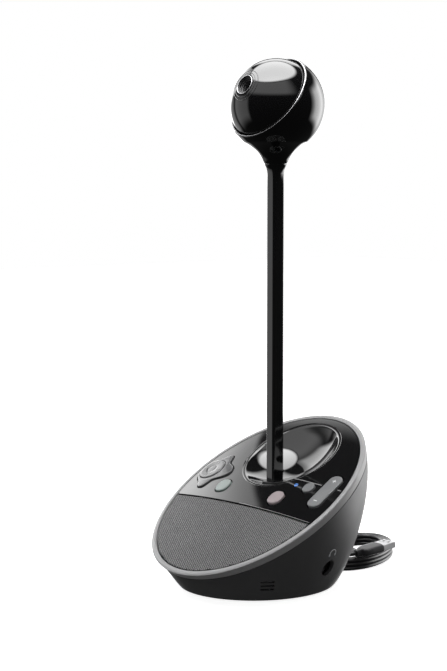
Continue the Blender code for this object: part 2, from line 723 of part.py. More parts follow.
def gear_outline(teeth, phase=0.0, backlash=0.12):
    """Involute teeth, with one tooth's middle at the phase, in degrees."""
    pitch, lean = MODULE * teeth / 2, math.radians(PRESSURE)
    base, tip, root = pitch * math.cos(lean), pitch + 0.9 * MODULE, pitch - 1.2 * MODULE
    half = math.pi / (2 * teeth) - backlash / (2 * pitch) + math.tan(lean) - lean
    radii = [max(base, root) + (tip - max(base, root)) * k / 2 for k in range(3)]
    flank = []
    for radius in radii:
        roll = math.acos(min(1, base / radius))
        flank.append((radius, half - (math.tan(roll) - roll)))
    flank.insert(0, (root, flank[0][1]))
    points = []
    for k in range(teeth):
        middle = math.radians(phase) + math.tau * k / teeth
        sides = [(r, middle - a) for r, a in flank] + [(r, middle + a) for r, a in reversed(flank)]
        points += [(r * math.cos(a), r * math.sin(a)) for r, a in sides]
    return points


def tilt_drive():
    """A gear fixed on the left pin, and a motor in the eye whose pinion walks round it."""
    for side, name in ((1, "tilt_pin_left"), (-1, "tilt_pin_right")):
        pin = moved(disc(PIN_R, 15.0, 32.5, 20), aim(BALL, (side, 0, 0)))
        add_piece(name, pin, STEEL, 0.3, 1.0, origin=BALL)
    spread = MODULE * (GEAR_TEETH + PINION_TEETH) / 2
    axis = aim(BALL, (1, 0, 0))
    below = math.radians(-90 - LENS_UP)
    centre = BALL + Vector((0, -spread * math.cos(below), spread * math.sin(below)))
    toward = math.degrees(math.atan2(*reversed((axis.inverted() @ centre).xy)))
    gear = prism(gear_outline(GEAR_TEETH, toward), GEAR_X, GEAR_X + GEAR_WIDE)
    gear = add_piece("tilt_gear", moved(gear, axis), NYLON, 0.5, origin=BALL)
    combine(gear, moved(disc(PIN_R + GAP, 10, 40, 20), axis))
    place = Matrix.Translation(centre - BALL) @ axis
    gap_at = toward + 180 + 180 / PINION_TEETH
    pinion = prism(gear_outline(PINION_TEETH, gap_at), GEAR_X, GEAR_X + GEAR_WIDE)
    pinion = add_piece("tilt_pinion", moved(pinion, place), BRASS, 0.35, 0.9, origin=centre)
    combine(pinion, moved(disc(TILT_MOTOR[-2][0] + 0.05, 10, 40, 12), place))
    motor = moved(lathe(TILT_MOTOR, 24, ring=False), place)
    add_piece("tilt_motor", motor, STEEL, 0.3, 0.9, origin=BALL)


# ---- the cable ---------------------------------------------------------------------------------


def smooth_route(points, gap):
    """Even points along a Catmull-Rom curve through the given ones, both ends kept."""
    ends = [2 * points[0] - points[1], *points, 2 * points[-1] - points[-2]]
    fine = []
    for a, b, c, d in zip(ends, ends[1:], ends[2:], ends[3:]):
        for k in range(12):
            t = k / 12
            square, cube = 2 * a - 5 * b + 4 * c - d, 3 * b - a - 3 * c + d
            fine.append((2 * b + (c - a) * t + square * t**2 + cube * t**3) / 2)
    fine.append(points[-1])
    route = [fine[0]]
    for point in fine:
        if (point - route[-1]).length >= gap and (point - fine[-1]).length >= gap / 2:
            route.append(point)
    return [*route, fine[-1]]


def cord_tube(name, points):
    data = bpy.data.curves.new(name, "CURVE")
    data.dimensions = "3D"
    data.bevel_depth = CABLE_R * MM
    data.bevel_resolution = 2
    data.use_fill_caps = True
    route = smooth_route([Vector(p) for p in points], 4 * CABLE_R)
    spline = data.splines.new("POLY")
    spline.points.add(len(route) - 1)
    for target, point in zip(spline.points, route):
        target.co = (*(point * MM), 1)
    data.materials.append(make_material(name, BLACK, 0.5))
    bpy.context.collection.objects.link(bpy.data.objects.new(name, data))


def coil():
    """The wound cable as one solid ring."""
    profile = [(0, 0.1), (0, COIL_HIGH - 1), (1, COIL_HIGH)]
    profile += [(COIL_WIDE - 1, COIL_HIGH), (COIL_WIDE, COIL_HIGH - 1), (COIL_WIDE, 0.1)]
    turn = Matrix.Rotation(math.radians(COIL_TURN), 2)
    sections = []
    for k in range(36):
        angle = math.tau * k / 36
        section = []
        for side, height in profile:
            spoke = Vector(((COIL_LONG - side) * math.cos(angle), (COIL_SHORT - side) * math.sin(angle)))
            section.append((*(Vector(COIL_CENTRE) + turn @ spoke), height))
        sections.append(section)
    add_piece("usb_coil", loft(sections, cyclic=True), BLACK, 0.5)


def plug():
    frame = aim(PLUG_START, PLUG_AIM)
    body = []
    for along, half_x, half_y in PLUG_SECTIONS:
        corner = min(half_x, half_y) * 0.7
        body.append([(x, y, along) for x, y in rounded(half_x, half_y, corner)])
    add_piece("usb_plug_body", moved(loft(body), frame), CHARCOAL, 0.5)
    shell = moved(box((12, 4.5, 12), (0, 0, 29.3)), frame)
    shell = add_piece("usb_plug_shell", shell, STEEL, 0.25, 1.0)
    combine(shell, moved(box((11.2, 3.7, 10), (0, 0, 31.3)), frame))


def cable():
    gland = moved(lathe(GLAND_SHAPE, 20, ring=False), gland_frame())
    add_piece("cable_gland", gland, BLACK, 0.6)
    cord_tube("usb_cable", CABLE_IN)
    coil()
    cord_tube("usb_tail", CABLE_OUT)
    plug()


clear_scene()
base_housing()
rim_ring()
top_panel()
speaker_grille()
speaker()
bottom_pieces()
stalk_socket()
circuit_boards()
jack_socket()
microphone()
keys()
key_mats()
stalk()
head_shell()
pan_drive()
eye()
tilt_drive()
cable()
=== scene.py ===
"""Looks of a desktop conference camera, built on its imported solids.

Shapes are made in millimetres and stored in metres. +Z is up, the front is -Y, and +X is the side with the
headphone socket.
"""

import math

import bmesh
import bpy
from mathutils import Matrix, Vector


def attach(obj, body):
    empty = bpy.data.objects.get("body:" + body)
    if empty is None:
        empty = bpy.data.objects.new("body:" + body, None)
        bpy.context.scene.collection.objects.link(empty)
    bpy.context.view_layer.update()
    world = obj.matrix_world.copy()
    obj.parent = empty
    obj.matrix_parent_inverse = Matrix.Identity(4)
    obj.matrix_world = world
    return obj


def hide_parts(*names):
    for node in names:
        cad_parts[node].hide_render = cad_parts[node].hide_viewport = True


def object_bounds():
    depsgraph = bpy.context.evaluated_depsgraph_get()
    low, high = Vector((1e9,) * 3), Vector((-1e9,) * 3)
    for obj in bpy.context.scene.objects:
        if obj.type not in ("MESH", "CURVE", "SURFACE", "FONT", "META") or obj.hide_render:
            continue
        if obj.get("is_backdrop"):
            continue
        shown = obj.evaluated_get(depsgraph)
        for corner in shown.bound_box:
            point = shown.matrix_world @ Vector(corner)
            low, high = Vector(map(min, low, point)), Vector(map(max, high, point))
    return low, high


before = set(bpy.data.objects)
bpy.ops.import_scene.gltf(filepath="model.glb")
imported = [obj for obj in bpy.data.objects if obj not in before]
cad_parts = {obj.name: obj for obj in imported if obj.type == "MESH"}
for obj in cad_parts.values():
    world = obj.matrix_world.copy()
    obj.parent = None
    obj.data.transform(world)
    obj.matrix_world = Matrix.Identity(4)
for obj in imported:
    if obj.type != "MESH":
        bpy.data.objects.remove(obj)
solid_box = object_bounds()

MM = 0.001
GAP = 0.3

# Rim: an ellipse in a plane that rises to the back.
RIM_X = 77.0
RIM_Y = 75.0
RIM_Z = 65.6
SLANT = 32.3
SLOPE = RIM_Y / math.cos(math.radians(SLANT))
CROWN = 5.0

# Foot of the wall and the band under the rim.
FOOT_X = 55.5
FOOT_Y = 59.1
FOOT_BACK = -0.7
FOOT_ROUND = 3.6
FOOT_LOW = 0.8
WALL = 2.5
BAND = 5.5
GROOVE = 0.8
WALL_STEPS = 160

# Top face.
PANEL_SHARE = 0.945
CHORD = -18.4
SEAM = 1.2
BOWL_V = 41.5
BOWL_N = 35.7
BOWL_R = 49.0
BOWL_ROUND = 0.9
LIP_WIDE = 2.0
LIP_DEEP = 0.45
# Rings of the face's mesh, by how far outside the bowl's edge each one is.
LIP_RINGS = (-1.6, -0.83, -0.55, -0.28, 0, 0.28, 0.55, 0.83, 1.3, 1.83, 1.95, 2.06, 2.17, 2.3, 2.8)
HOLE_PITCH = 1.5
HOLE_R = 0.62
SHEET = 0.12
COLLAR = (6.4, 7.6)

# Keys: the spot on the face, then half width, half length and corner radius.
NAV_SPOT = (-58.6, 10.0)
NAV_R = 10.6
ZOOM_R = 12.6
ZOOM_LOBES = ((74, 6.4, 20), (3, 8.4, 30), (-78, 6.8, 20))
ZOOM_OFFSET = (1.0, -1.0)
ZOOM_STEPS = 96
LIGHT_SPOT = (33.0, 10.0)
LIGHT_R = 1.5
KEYS = {
    "answer_key": ((-30.5, -5.0), (5.6, 6.4, 5.2)),
    "hangup_key": ((27.0, -6.0), (5.6, 6.4, 5.2)),
    "mute_key": ((45.0, 10.3), (4.3, 4.7, 4.2)),
    "volume_rocker": ((60.2, 11.0), (5.3, 16.5, 5.2)),
}
ARROW_OUT = 7.0
ARROW_SIZE = 1.1
KEY_PROUD = 0.9
KEY_DEPTH = 3.4
KEY_CROWN = 0.2
KEY_GAP = 0.95

# Stalk.
STALK_Y = 16.0
STALK_WIDE = 8.0
STALK_DEEP = 10.5
STALK_FOOT = 45.0
STALK_TOP_R = 7.9
FLARE = ((283, 0), (288, 0.12), (291.5, 0.3), (294.5, 0.6), (296.5, 0.85), (297.4, 1))
STALK_TOP = 298.15
LATCH_LOW = 74.0
LATCH_HIGH = 115.0

# Ball head, measured from the ball's centre.
BALL = Vector((0, STALK_Y, 339.2))
BALL_R = 34.5
EYE_R = 32.6
OPENING_OFF = 8.4
OPENING_UP = 34.0
LENS_UP = 24.0
LENS_R = 7.4
NECK = [
    (7.9, -41.0), (8.9, -39.5), (10.3, -36.4), (12.5, -33.2), (15.4, -30.6), (18.6, -28.4), (22.5, -26.2),
]

# Headphone socket and microphone slots.
JACK_AT = (55.0, 5.2, 21.1)
JACK_TURN = 8.8
JACK_R = 5.4
MARK_Z = 31.6
SLOTS_AT = (53.0, -38.0)
SLOTS_TURN = -35.0
SLOT_HEIGHTS = (10.0, 13.0, 16.0)

# Studio lights: strength, middle azimuth, its cosine fully lit and unlit, then the lower and upper edge with the
# height where each is fully lit, and the axis that heights are measured along.
ROOM = 0.03
FILL = 0.12
UP = (0, 0, 1)
LIGHTS = (
    (1.2, (0.337, -0.941), 0.6, -0.1, 0.3, 0.48, 0.95, 0.9, UP),
    (1.9, (-0.95, 0.3), 0.85, 0.65, 0.1, 0.2, 0.597, 0.48, (0, 0.62, 0.785)),
    (1.0, (-0.95, 0.3), 0.85, 0.65, 0.1, 0.2, 0.597, 0.585, (0, 0.62, 0.785)),
    (0.6, (-0.95, 0.3), 0.95, 0.85, -0.5, -0.35, 0.2, 0.1, UP),
    (2.6, (-0.703, 0.711), 0.97, 0.9, 0.42, 0.5, 0.95, 0.85, UP),
    (1.5, (0, 1), 0.94, 0.84, -0.4, -0.2, 0.5, 0.3, UP),
    (2.4, (0.213, 0.977), 0.985, 0.866, -0.45, -0.25, 0.5, 0.3, UP),
    (0.8, (-0.763, -0.646), 0.95, 0.88, -0.6, -0.3, 0.4, 0.1, UP),
)
# The softbox overhead: middle, radius, and its strength on the near and the far side.
SOFTBOX = ((-0.05, -0.007, 0.7), 0.305, 13.0, 3.5)
SOFTBOX_AWAY = (-0.763, 0.647, 0)
DIFFUSE_SHARE = 0.22

# Camera, in metres, and its focal length in millimetres.
CAMERA_AT = (0.848155, -0.751195, 0.279183)
CAMERA_AHEAD = Vector((-0.75977, 0.64400, -0.08951))
CAMERA_RIGHT = Vector((0.64659, 0.76284, 0))
FOCAL_LENGTH = 86.43

# Cable: its two free ends are fixed points, and the winding joins them.
CABLE_R = 1.5
COIL_CENTRE = Vector((-13.0, 110.0))
COIL_LONG = 45.1
COIL_SHORT = 23.1
COIL_TURN = 120.0
COIL_ROWS = (1.6, 4.5, 7.4)
COIL_COLUMNS = (3.1, 0.0, -3.1)
GLAND_AT = (-28.0, 0.0, 8.8)
PLUG_START = Vector((18.4, 80.0, 12.4))
PLUG_AIM = Vector((0.03, 0.996, 0.08)).normalized()
# How far along the plug, half width and half height.
PLUG_SECTIONS = (
    (0.2, 2.3, 2.3), (5.2, 2.8, 2.6), (5.8, 4.6, 2.8), (7.0, 5.9, 3.0),
    (9.0, 6.7, 3.15), (12, 7.0, 3.2), (22.4, 7.0, 3.2), (22.9, 6.7, 3.0),
)
CABLE_IN = [
    (-28.0, 66.5, 8.8),
    (-28.3, 72.0, 7.9),
    (-29.6, 78.0, 5.4),
    (-32.4, 84.0, 3.0),
    (-36.2, 89.6, 1.9),
    (-39.9, 94.6, 1.7),
    (-43.4, 102.8, 1.7),
    (-46.3, 111.1, 1.7),
    (-48.5, 119.1, 1.7),
]
CABLE_OUT = [
    (-3.0, 80.5, 11.0),
    (-1.4, 75.0, 11.0),
    (2.6, 71.2, 11.1),
    (7.8, 69.8, 11.4),
    (13.0, 71.2, 11.8),
    (16.8, 74.8, 12.1),
    (18.2, 77.6, 12.25),
    (18.4, 79.4, 12.36),
]


# ---- materials ---------------------------------------------------------------------------------


def add_node(tree, kind, at=(0, 0), **values):
    node = tree.nodes.new(kind)
    node.location = at
    for name, value in values.items():
        setattr(node, name, value)
    return node


def new_group(name, inputs, outputs):
    """A shader group with its two ends, ready for its nodes."""
    group = bpy.data.node_groups.new(name, "ShaderNodeTree")
    for direction, sockets in (("INPUT", inputs), ("OUTPUT", outputs)):
        for label, kind in sockets.items():
            group.interface.new_socket(name=label, in_out=direction, socket_type=f"NodeSocket{kind}")
    start = add_node(group, "NodeGroupInput", (-900, 0))
    end = add_node(group, "NodeGroupOutput", (700, 0))
    return group, start, end


def noise(tree, vector, scale, detail, at):
    """A noise texture's value, from a vector socket and a scale socket or number."""
    node = add_node(tree, "ShaderNodeTexNoise", at)
    node.inputs["Detail"].default_value = detail
    tree.links.new(vector, node.inputs["Vector"])
    if isinstance(scale, (int, float)):
        node.inputs["Scale"].default_value = scale
    else:
        tree.links.new(scale, node.inputs["Scale"])
    return node.outputs["Fac"]


def wire(tree, *pairs):
    """Links each pair of sockets."""
    for source, target in pairs:
        tree.links.new(source, target)


def bumped(group, start, height, distance):
    """The normal that a height gives, as strong as the group's Depth."""
    bump = add_node(group, "ShaderNodeBump", (-200, 150))
    bump.inputs["Distance"].default_value = distance
    wire(group, (start.outputs["Depth"], bump.inputs["Strength"]), (height, bump.inputs["Height"]))
    return bump.outputs["Normal"]


def moulded_grain():
    """Fine spark texture of moulded plastic: a bumped normal and a roughness that drifts."""
    group, start, end = new_group(
        "moulded_grain",
        {"Vector": "Vector", "Scale": "Float", "Depth": "Float", "Roughness": "Float", "Spread": "Float"},
        {"Normal": "Vector", "Roughness": "Float"},
    )
    given = start.outputs
    fine = noise(group, given["Vector"], given["Scale"], 3, (-650, 100))
    broad = noise(group, given["Vector"], 55, 2, (-650, -200))
    centred = add_node(group, "ShaderNodeMath", (-400, -200), operation="SUBTRACT")
    centred.inputs[1].default_value = 0.5
    vary = add_node(group, "ShaderNodeMath", (-100, -200), operation="MULTIPLY_ADD")
    wire(
        group,
        (broad, centred.inputs[0]),
        (centred.outputs[0], vary.inputs[0]),
        (given["Spread"], vary.inputs[1]),
        (given["Roughness"], vary.inputs[2]),
        (bumped(group, start, fine, 0.0001), end.inputs["Normal"]),
        (vary.outputs[0], end.inputs["Roughness"]),
    )
    return group


def handled_colour():
    """A colour that drifts a little over the surface, as dye and handling leave it."""
    group, start, end = new_group(
        "handled_colour",
        {"Vector": "Vector", "Colour": "Color", "Other": "Color", "Scale": "Float"},
        {"Color": "Color"},
    )
    given = start.outputs
    mix = add_node(group, "ShaderNodeMix", (0, 0), data_type="RGBA")
    wire(
        group,
        (noise(group, given["Vector"], given["Scale"], 4, (-650, 0)), mix.inputs["Factor"]),
        (given["Colour"], mix.inputs["A"]),
        (given["Other"], mix.inputs["B"]),
        (mix.outputs["Result"], end.inputs["Color"]),
    )
    return group


def turned_lines():
    """Fine lathe or brush lines along one axis, for metal."""
    group, start, end = new_group(
        "turned_lines",
        {"Vector": "Vector", "Stretch": "Vector", "Depth": "Float", "Roughness": "Float"},
        {"Normal": "Vector", "Roughness": "Float"},
    )
    given = start.outputs
    mapping = add_node(group, "ShaderNodeMapping", (-700, 0))
    lines = noise(group, mapping.outputs["Vector"], 900, 2, (-450, 0))
    vary = add_node(group, "ShaderNodeMath", (-100, -150), operation="MULTIPLY_ADD")
    vary.inputs[1].default_value = 0.12
    wire(
        group,
        (given["Vector"], mapping.inputs["Vector"]),
        (given["Stretch"], mapping.inputs["Scale"]),
        (lines, vary.inputs[0]),
        (given["Roughness"], vary.inputs[2]),
        (bumped(group, start, lines, 0.00005), end.inputs["Normal"]),
        (vary.outputs[0], end.inputs["Roughness"]),
    )
    return group


GRAIN = moulded_grain()
HANDLED = handled_colour()
LINES = turned_lines()


def place_group(tree, group, at, **values):
    node = add_node(tree, "ShaderNodeGroup", at, node_tree=group)
    for name, value in values.items():
        node.inputs[name].default_value = value
    return node


def surfaced(name, colour, other, scale, group, **values):
    """A material with a drifting colour and a group's normal and roughness, and its shader's inputs."""
    material = bpy.data.materials.new(name)
    material.use_nodes = True
    tree = material.node_tree
    shader = tree.nodes["Principled BSDF"]
    place = add_node(tree, "ShaderNodeTexCoord", (-1100, 0)).outputs["Object"]
    dye = place_group(tree, HANDLED, (-700, 200), Colour=(*colour, 1), Other=(*other, 1), Scale=scale)
    surface = place_group(tree, group, (-700, -100), **values)
    wire(
        tree,
        (place, dye.inputs["Vector"]),
        (place, surface.inputs["Vector"]),
        (dye.outputs["Color"], shader.inputs["Base Color"]),
        (surface.outputs["Roughness"], shader.inputs["Roughness"]),
        (surface.outputs["Normal"], shader.inputs["Normal"]),
    )
    return material, shader.inputs


def plastic(name, colour, other, roughness, spread=0.1, scale=2600.0, depth=0.3, coat=0.0, **sockets):
    """Moulded plastic, rubber or paint: drifting colour, grain and an optional clear coat."""
    values = {"Scale": scale, "Depth": depth, "Roughness": roughness, "Spread": spread}
    material, inputs = surfaced(name, colour, other, 90.0, GRAIN, **values)
    inputs["Coat Weight"].default_value = coat
    inputs["Coat Roughness"].default_value = 0.03
    for socket, value in sockets.items():
        inputs[socket.replace("_", " ")].default_value = value
    return material


def metal(name, colour, other, roughness, stretch=(1, 1, 8), depth=0.15):
    """Turned or cast metal: drifting colour and fine lines."""
    values = {"Stretch": stretch, "Depth": depth, "Roughness": roughness}
    material, inputs = surfaced(name, colour, other, 60.0, LINES, **values)
    inputs["Metallic"].default_value = 1.0
    return material


FINISHES = {
    "housing": plastic("satin_housing", (0.075, 0.075, 0.077), (0.09, 0.09, 0.092), 0.42),
    "rim": plastic("satin_rim", (0.36, 0.36, 0.364), (0.4, 0.4, 0.404), 0.38),
    "gloss": plastic("polished_panel", (0.003, 0.003, 0.0033), (0.004, 0.004, 0.0043), 0.05, 0.02, 300.0, 0.0, 0.6),
    "ball": plastic("polished_ball", (0.002, 0.002, 0.0022), (0.003, 0.003, 0.0033), 0.04, 0.015, 300.0, 0.0, 0.4),
    "grille": plastic("painted_sheet", (0.3, 0.3, 0.303), (0.34, 0.34, 0.343), 0.42, 0.05, 1200.0, 0.05, Metallic=0.35),
    "cloth": plastic("grille_cloth", (0.006, 0.006, 0.006), (0.012, 0.012, 0.012), 0.9, 0.05, 1800.0, 1.0),
    "key": plastic("smoked_key", (0.2, 0.205, 0.21), (0.24, 0.245, 0.25), 0.3, 0.06, 1500.0, 0.12, 0.3),
    "dark_key": plastic("deep_smoked_key", (0.085, 0.085, 0.088), (0.1, 0.1, 0.103), 0.26, 0.06, 1500.0, 0.12, 0.3),
    "dim_mark": plastic("dim_key_mark", (0.22, 0.22, 0.225), (0.25, 0.25, 0.255), 0.4, 0.05, 1500.0, 0.05),
    "answer": plastic("answer_key_tint", (0.24, 0.29, 0.275), (0.28, 0.34, 0.32), 0.3, 0.06, 1500.0, 0.12, 0.3),
    "hangup": plastic("hangup_key_tint", (0.42, 0.36, 0.37), (0.48, 0.4, 0.41), 0.3, 0.06, 1500.0, 0.12, 0.3),
    # Light grey for the thin beads on the dark gloss face: a painted highlight along its crease and along its edge at
    # the grille.
    "painted_highlight": plastic("crease_edge", (0.3, 0.3, 0.302), (0.36, 0.36, 0.362), 0.2, 0.05, 600.0, 0.0, 0.5),
    "mark": plastic("key_mark", (0.75, 0.76, 0.77), (0.85, 0.86, 0.87), 0.4, 0.05, 1500.0, 0.05),
    "stalk": plastic("polished_stalk", (0.003, 0.003, 0.0033), (0.005, 0.005, 0.0053), 0.1, 0.03, 600.0, 0.04, 0.4),
    "black": plastic("satin_black", (0.012, 0.012, 0.013), (0.02, 0.02, 0.021), 0.45),
    "rubber": plastic("dull_rubber", (0.014, 0.014, 0.015), (0.024, 0.024, 0.025), 0.75, 0.1, 1400.0, 0.5),
    "cable": plastic("cable_jacket", (0.012, 0.012, 0.013), (0.02, 0.02, 0.021), 0.32, 0.08, 1500.0, 0.12),
    "overmould": plastic("plug_overmould", (0.035, 0.035, 0.037), (0.055, 0.055, 0.058), 0.4, 0.08, 1500.0, 0.2),
    "mat": plastic("key_mat_rubber", (0.02, 0.02, 0.021), (0.03, 0.03, 0.031), 0.7, 0.1, 1400.0, 0.4),
    "board": plastic("printed_board", (0.01, 0.09, 0.035), (0.02, 0.14, 0.06), 0.4, 0.1, 700.0, 0.3),
    "cone": plastic("paper_cone", (0.02, 0.02, 0.021), (0.045, 0.045, 0.047), 0.85, 0.05, 900.0, 0.8),
    "nylon": plastic("gear_nylon", (0.7, 0.69, 0.64), (0.78, 0.77, 0.72), 0.45, 0.08, 900.0, 0.1),
    "iron": metal("cast_weight", (0.2, 0.2, 0.21), (0.3, 0.3, 0.31), 0.5, (1, 1, 1), 0.8),
    "steel": metal("turned_steel", (0.5, 0.5, 0.51), (0.6, 0.6, 0.61), 0.25),
    "chrome": metal("bright_trim", (0.45, 0.45, 0.46), (0.52, 0.52, 0.53), 0.2, (1, 1, 1), 0.02),
    "plated": plastic("plated_plug", (0.86, 0.86, 0.87), (0.92, 0.92, 0.93), 0.3, 0.05, 900.0, 0.05, Metallic=0.3),
    "brass": metal("brass_contact", (0.62, 0.45, 0.16), (0.75, 0.56, 0.22), 0.25),
    # Dark glass whose coating shifts from violet to green over the dome.
    "lens": plastic("coated_lens", (0.012, 0.008, 0.03), (0.004, 0.022, 0.018), 0.03, 0.01, 40.0, 0.0, 1.0, IOR=1.7),
    "light": plastic(
        "blue_light", (0.03, 0.16, 0.5), (0.04, 0.2, 0.6), 0.2, 0.02, 600.0, 0.0, 0.5,
        Emission_Color=(0.02, 0.1, 0.4, 1), Emission_Strength=0.3,
    ),
}
NODE_FINISHES = {
    "iron": ("ballast_plate", "speaker_magnet"),
    "steel": (
        "bottom_screw_1", "bottom_screw_2", "bottom_screw_3", "bottom_screw_4", "microphone_capsule",
        "pan_spindle", "pan_motor", "pan_shaft", "tilt_pin_left", "tilt_pin_right", "tilt_motor",
    ),
    "black": ("stalk_socket", "speaker_basket", "usb_controller", "navigation_gimbal", "lens_barrel"),
    "housing": ("bottom_plate",),
    "rubber": ("foot_ring",),
    "mat": ("key_mat_left", "key_mat_right"),
    "board": ("main_board", "sensor_board"),
    "cone": ("speaker_cone",),
    "nylon": ("tilt_gear",),
    "brass": ("stalk_plug", "tilt_pinion"),
    "cable": ("stalk_harness",),
}


# ---- making pieces -----------------------------------------------------------------------------


def new_object(name, data):
    made = bpy.data.objects.new(name, data)
    bpy.context.scene.collection.objects.link(made)
    return made


def mesh_data(name, mesh):
    """Turns a bmesh into mesh data and frees it."""
    data = bpy.data.meshes.new(name)
    mesh.to_mesh(data)
    mesh.free()
    return data


def in_metres(name, mesh):
    """An object from a bmesh in millimetres."""
    bmesh.ops.scale(mesh, verts=mesh.verts, vec=(MM, MM, MM))
    return new_object(name, mesh_data(name, mesh))


def add_piece(name, mesh, finish, body, slot, replaced=(), angle=35):
    """Turns a bmesh in millimetres into a finished piece that rides on a body."""
    piece = in_metres(name, mesh)
    piece.data.materials.append(FINISHES[finish])
    shade(piece, angle)
    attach(piece, body)
    if replaced:
        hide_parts(*replaced)
    return piece


def shade(piece, angle):
    piece.data.shade_smooth()
    piece.data.set_sharp_from_angle(angle=math.radians(angle))


def cut(piece, mesh, angle=35):
    """Cuts a bmesh in millimetres from a piece for good."""
    cutter = in_metres("cutter", mesh)
    modifier = piece.modifiers.new("cut", "BOOLEAN")
    modifier.operation = "DIFFERENCE"
    modifier.object = cutter
    apply_modifiers(piece)
    bpy.data.objects.remove(cutter)
    shade(piece, angle)


def thicken(piece, depth, even):
    """Gives an open sheet its thickness, towards the inside."""
    wall = piece.modifiers.new("thickness", "SOLIDIFY")
    wall.thickness = depth * MM
    wall.offset = -1
    wall.use_even_offset = even
    apply_modifiers(piece)


def apply_modifiers(piece):
    graph = bpy.context.evaluated_depsgraph_get()
    graph.update()
    finished = bpy.data.meshes.new_from_object(piece.evaluated_get(graph))
    piece.modifiers.clear()
    piece.data = finished


def closed(mesh):
    bmesh.ops.remove_doubles(mesh, verts=mesh.verts, dist=0.001)
    bmesh.ops.recalc_face_normals(mesh, faces=mesh.faces)
    return mesh


def moved(mesh, matrix):
    bmesh.ops.transform(mesh, matrix=matrix, verts=mesh.verts)
    return mesh


def take_in(whole, mesh):
    """Adds a bmesh to another and frees it."""
    data = mesh_data("part", mesh)
    whole.from_mesh(data)
    bpy.data.meshes.remove(data)


def joined(*meshes):
    """One bmesh that holds several."""
    whole = bmesh.new()
    for mesh in meshes:
        take_in(whole, mesh)
    return whole


def of_kind(items, kind):
    return [item for item in items if isinstance(item, kind)]


def drawn_out(mesh, faces, by, keep=True):
    """Extrudes faces by a vector and returns the new face."""
    made = bmesh.ops.extrude_face_region(mesh, geom=faces, use_keep_orig=keep)["geom"]
    bmesh.ops.translate(mesh, verts=of_kind(made, bmesh.types.BMVert), vec=by)
    return of_kind(made, bmesh.types.BMFace)[0]


def lathe(profile, steps=64, ring=True):
    """Turns a profile of (radius, height) about Z; a ring closes on itself, any other ends on the axis."""
    mesh = bmesh.new()
    points = [mesh.verts.new((radius, 0, height)) for radius, height in profile]
    edges = [mesh.edges.new(pair) for pair in zip(points, points[1:])]
    if ring:
        edges.append(mesh.edges.new((points[-1], points[0])))
    around = {"cent": (0, 0, 0), "axis": UP, "angle": math.tau, "steps": steps, "use_merge": True}
    bmesh.ops.spin(mesh, geom=points + edges, **around)
    return closed(mesh)


def extruded(outline, heights):
    """A closed outline drawn up through heights, capped at both ends."""
    mesh = bmesh.new()
    face = mesh.faces.new([mesh.verts.new((x, y, heights[0])) for x, y in outline])
    for low, high in zip(heights, heights[1:]):
        face = drawn_out(mesh, [face], (0, 0, high - low), keep=low == heights[0])
    return closed(mesh)


def rounded_box(size, centre, round_by, segments=3):
    mesh = bmesh.new()
    bmesh.ops.create_cube(mesh, size=1, matrix=Matrix.Translation(centre) @ Matrix.Diagonal((*size, 1)))
    soften(mesh, mesh.edges[:], round_by, segments)
    return mesh


def soften(mesh, edges, round_by, segments):
    how = {"profile": 0.5, "affect": "EDGES", "material": -1, "clamp_overlap": True}
    bmesh.ops.bevel(mesh, geom=edges, offset=round_by, segments=segments, **how)


def ellipse(half_x, half_y, steps, centre=(0, 0)):
    turns = [math.tau * k / steps for k in range(steps)]
    return [(centre[0] + half_x * math.cos(a), centre[1] + half_y * math.sin(a)) for a in turns]


def rounded(half_x, half_y, corner, centre=(0, 0), steps=8):
    """A rectangle with round corners, counted from +X."""
    points = []
    for turn, (side_x, side_y) in enumerate(((1, 1), (-1, 1), (-1, -1), (1, -1))):
        middle_x = centre[0] + side_x * (half_x - corner)
        middle_y = centre[1] + side_y * (half_y - corner)
        for k in range(steps + 1):
            angle = math.radians(90 * (turn + k / steps))
            points.append((middle_x + corner * math.cos(angle), middle_y + corner * math.sin(angle)))
    return points


def divided(outline, gap):
    """The same outline with points added along sides longer than the gap."""
    points = []
    for start, end in zip(outline, [*outline[1:], outline[0]]):
        start, end = Vector(start), Vector(end)
        count = max(1, math.ceil((end - start).length / gap))
        points += [start.lerp(end, k / count) for k in range(count)]
    return points


def curved(points, per):
    """Points along a Catmull-Rom curve through the given ones, both ends kept."""
    points = [Vector(point) for point in points]
    ends = [2 * points[0] - points[1], *points, 2 * points[-1] - points[-2]]
    fine = []
    for a, b, c, d in zip(ends, ends[1:], ends[2:], ends[3:]):
        square, cube = 2 * a - 5 * b + 4 * c - d, 3 * b - a - 3 * c + d
        for t in [k / per for k in range(per)]:
            fine.append((2 * b + (c - a) * t + square * t**2 + cube * t**3) / 2)
    return [*fine, points[-1]]


def arc(radius, start, end, steps):
    """Points on a circle about the origin, by angle from the horizontal."""
    angles = [math.radians(start + (end - start) * k / steps) for k in range(steps + 1)]
    return [(radius * math.cos(a), radius * math.sin(a)) for a in angles]


def interpolate(value, levels, results):
    if value <= levels[0]:
        return results[0]
    for low, high, start, end in zip(levels, levels[1:], results, results[1:]):
        if value <= high:
            return start + (end - start) * (value - low) / (high - low)
    return results[-1]


def axes(x, y, z):
    """A rotation from three directions."""
    return Matrix((x, y, z)).transposed().to_4x4()


def aim(place, direction, up=UP):
    """A frame at a place whose Z runs along a direction."""
    along = Vector(direction).normalized()
    side = Vector(up).cross(along).normalized()
    return Matrix.Translation(place) @ axes(side, along.cross(side), along)


def turned(name, profile, place, finish, body, slot, replaced=(), angle=35, steps=64, ring=True):
    """A piece from a turned profile, in its place."""
    mesh = moved(lathe(profile, steps, ring), place)
    return add_piece(name, mesh, finish, body, slot, replaced, angle)


def cylinder(radius, low, high, steps):
    """A plain tool for cutting a round hole."""
    return lathe([(0, low), (radius, low), (radius, high), (0, high)], steps, ring=False)


# ---- the slanted face --------------------------------------------------------------------------


def face_point(x, v, n=0.0):
    """A point of the slanted face: x across, v up the slope, n above the rim's plane."""
    lean = math.radians(SLANT)
    return Vector(
        (x, v * math.cos(lean) - n * math.sin(lean), RIM_Z + v * math.sin(lean) + n * math.cos(lean))
    )


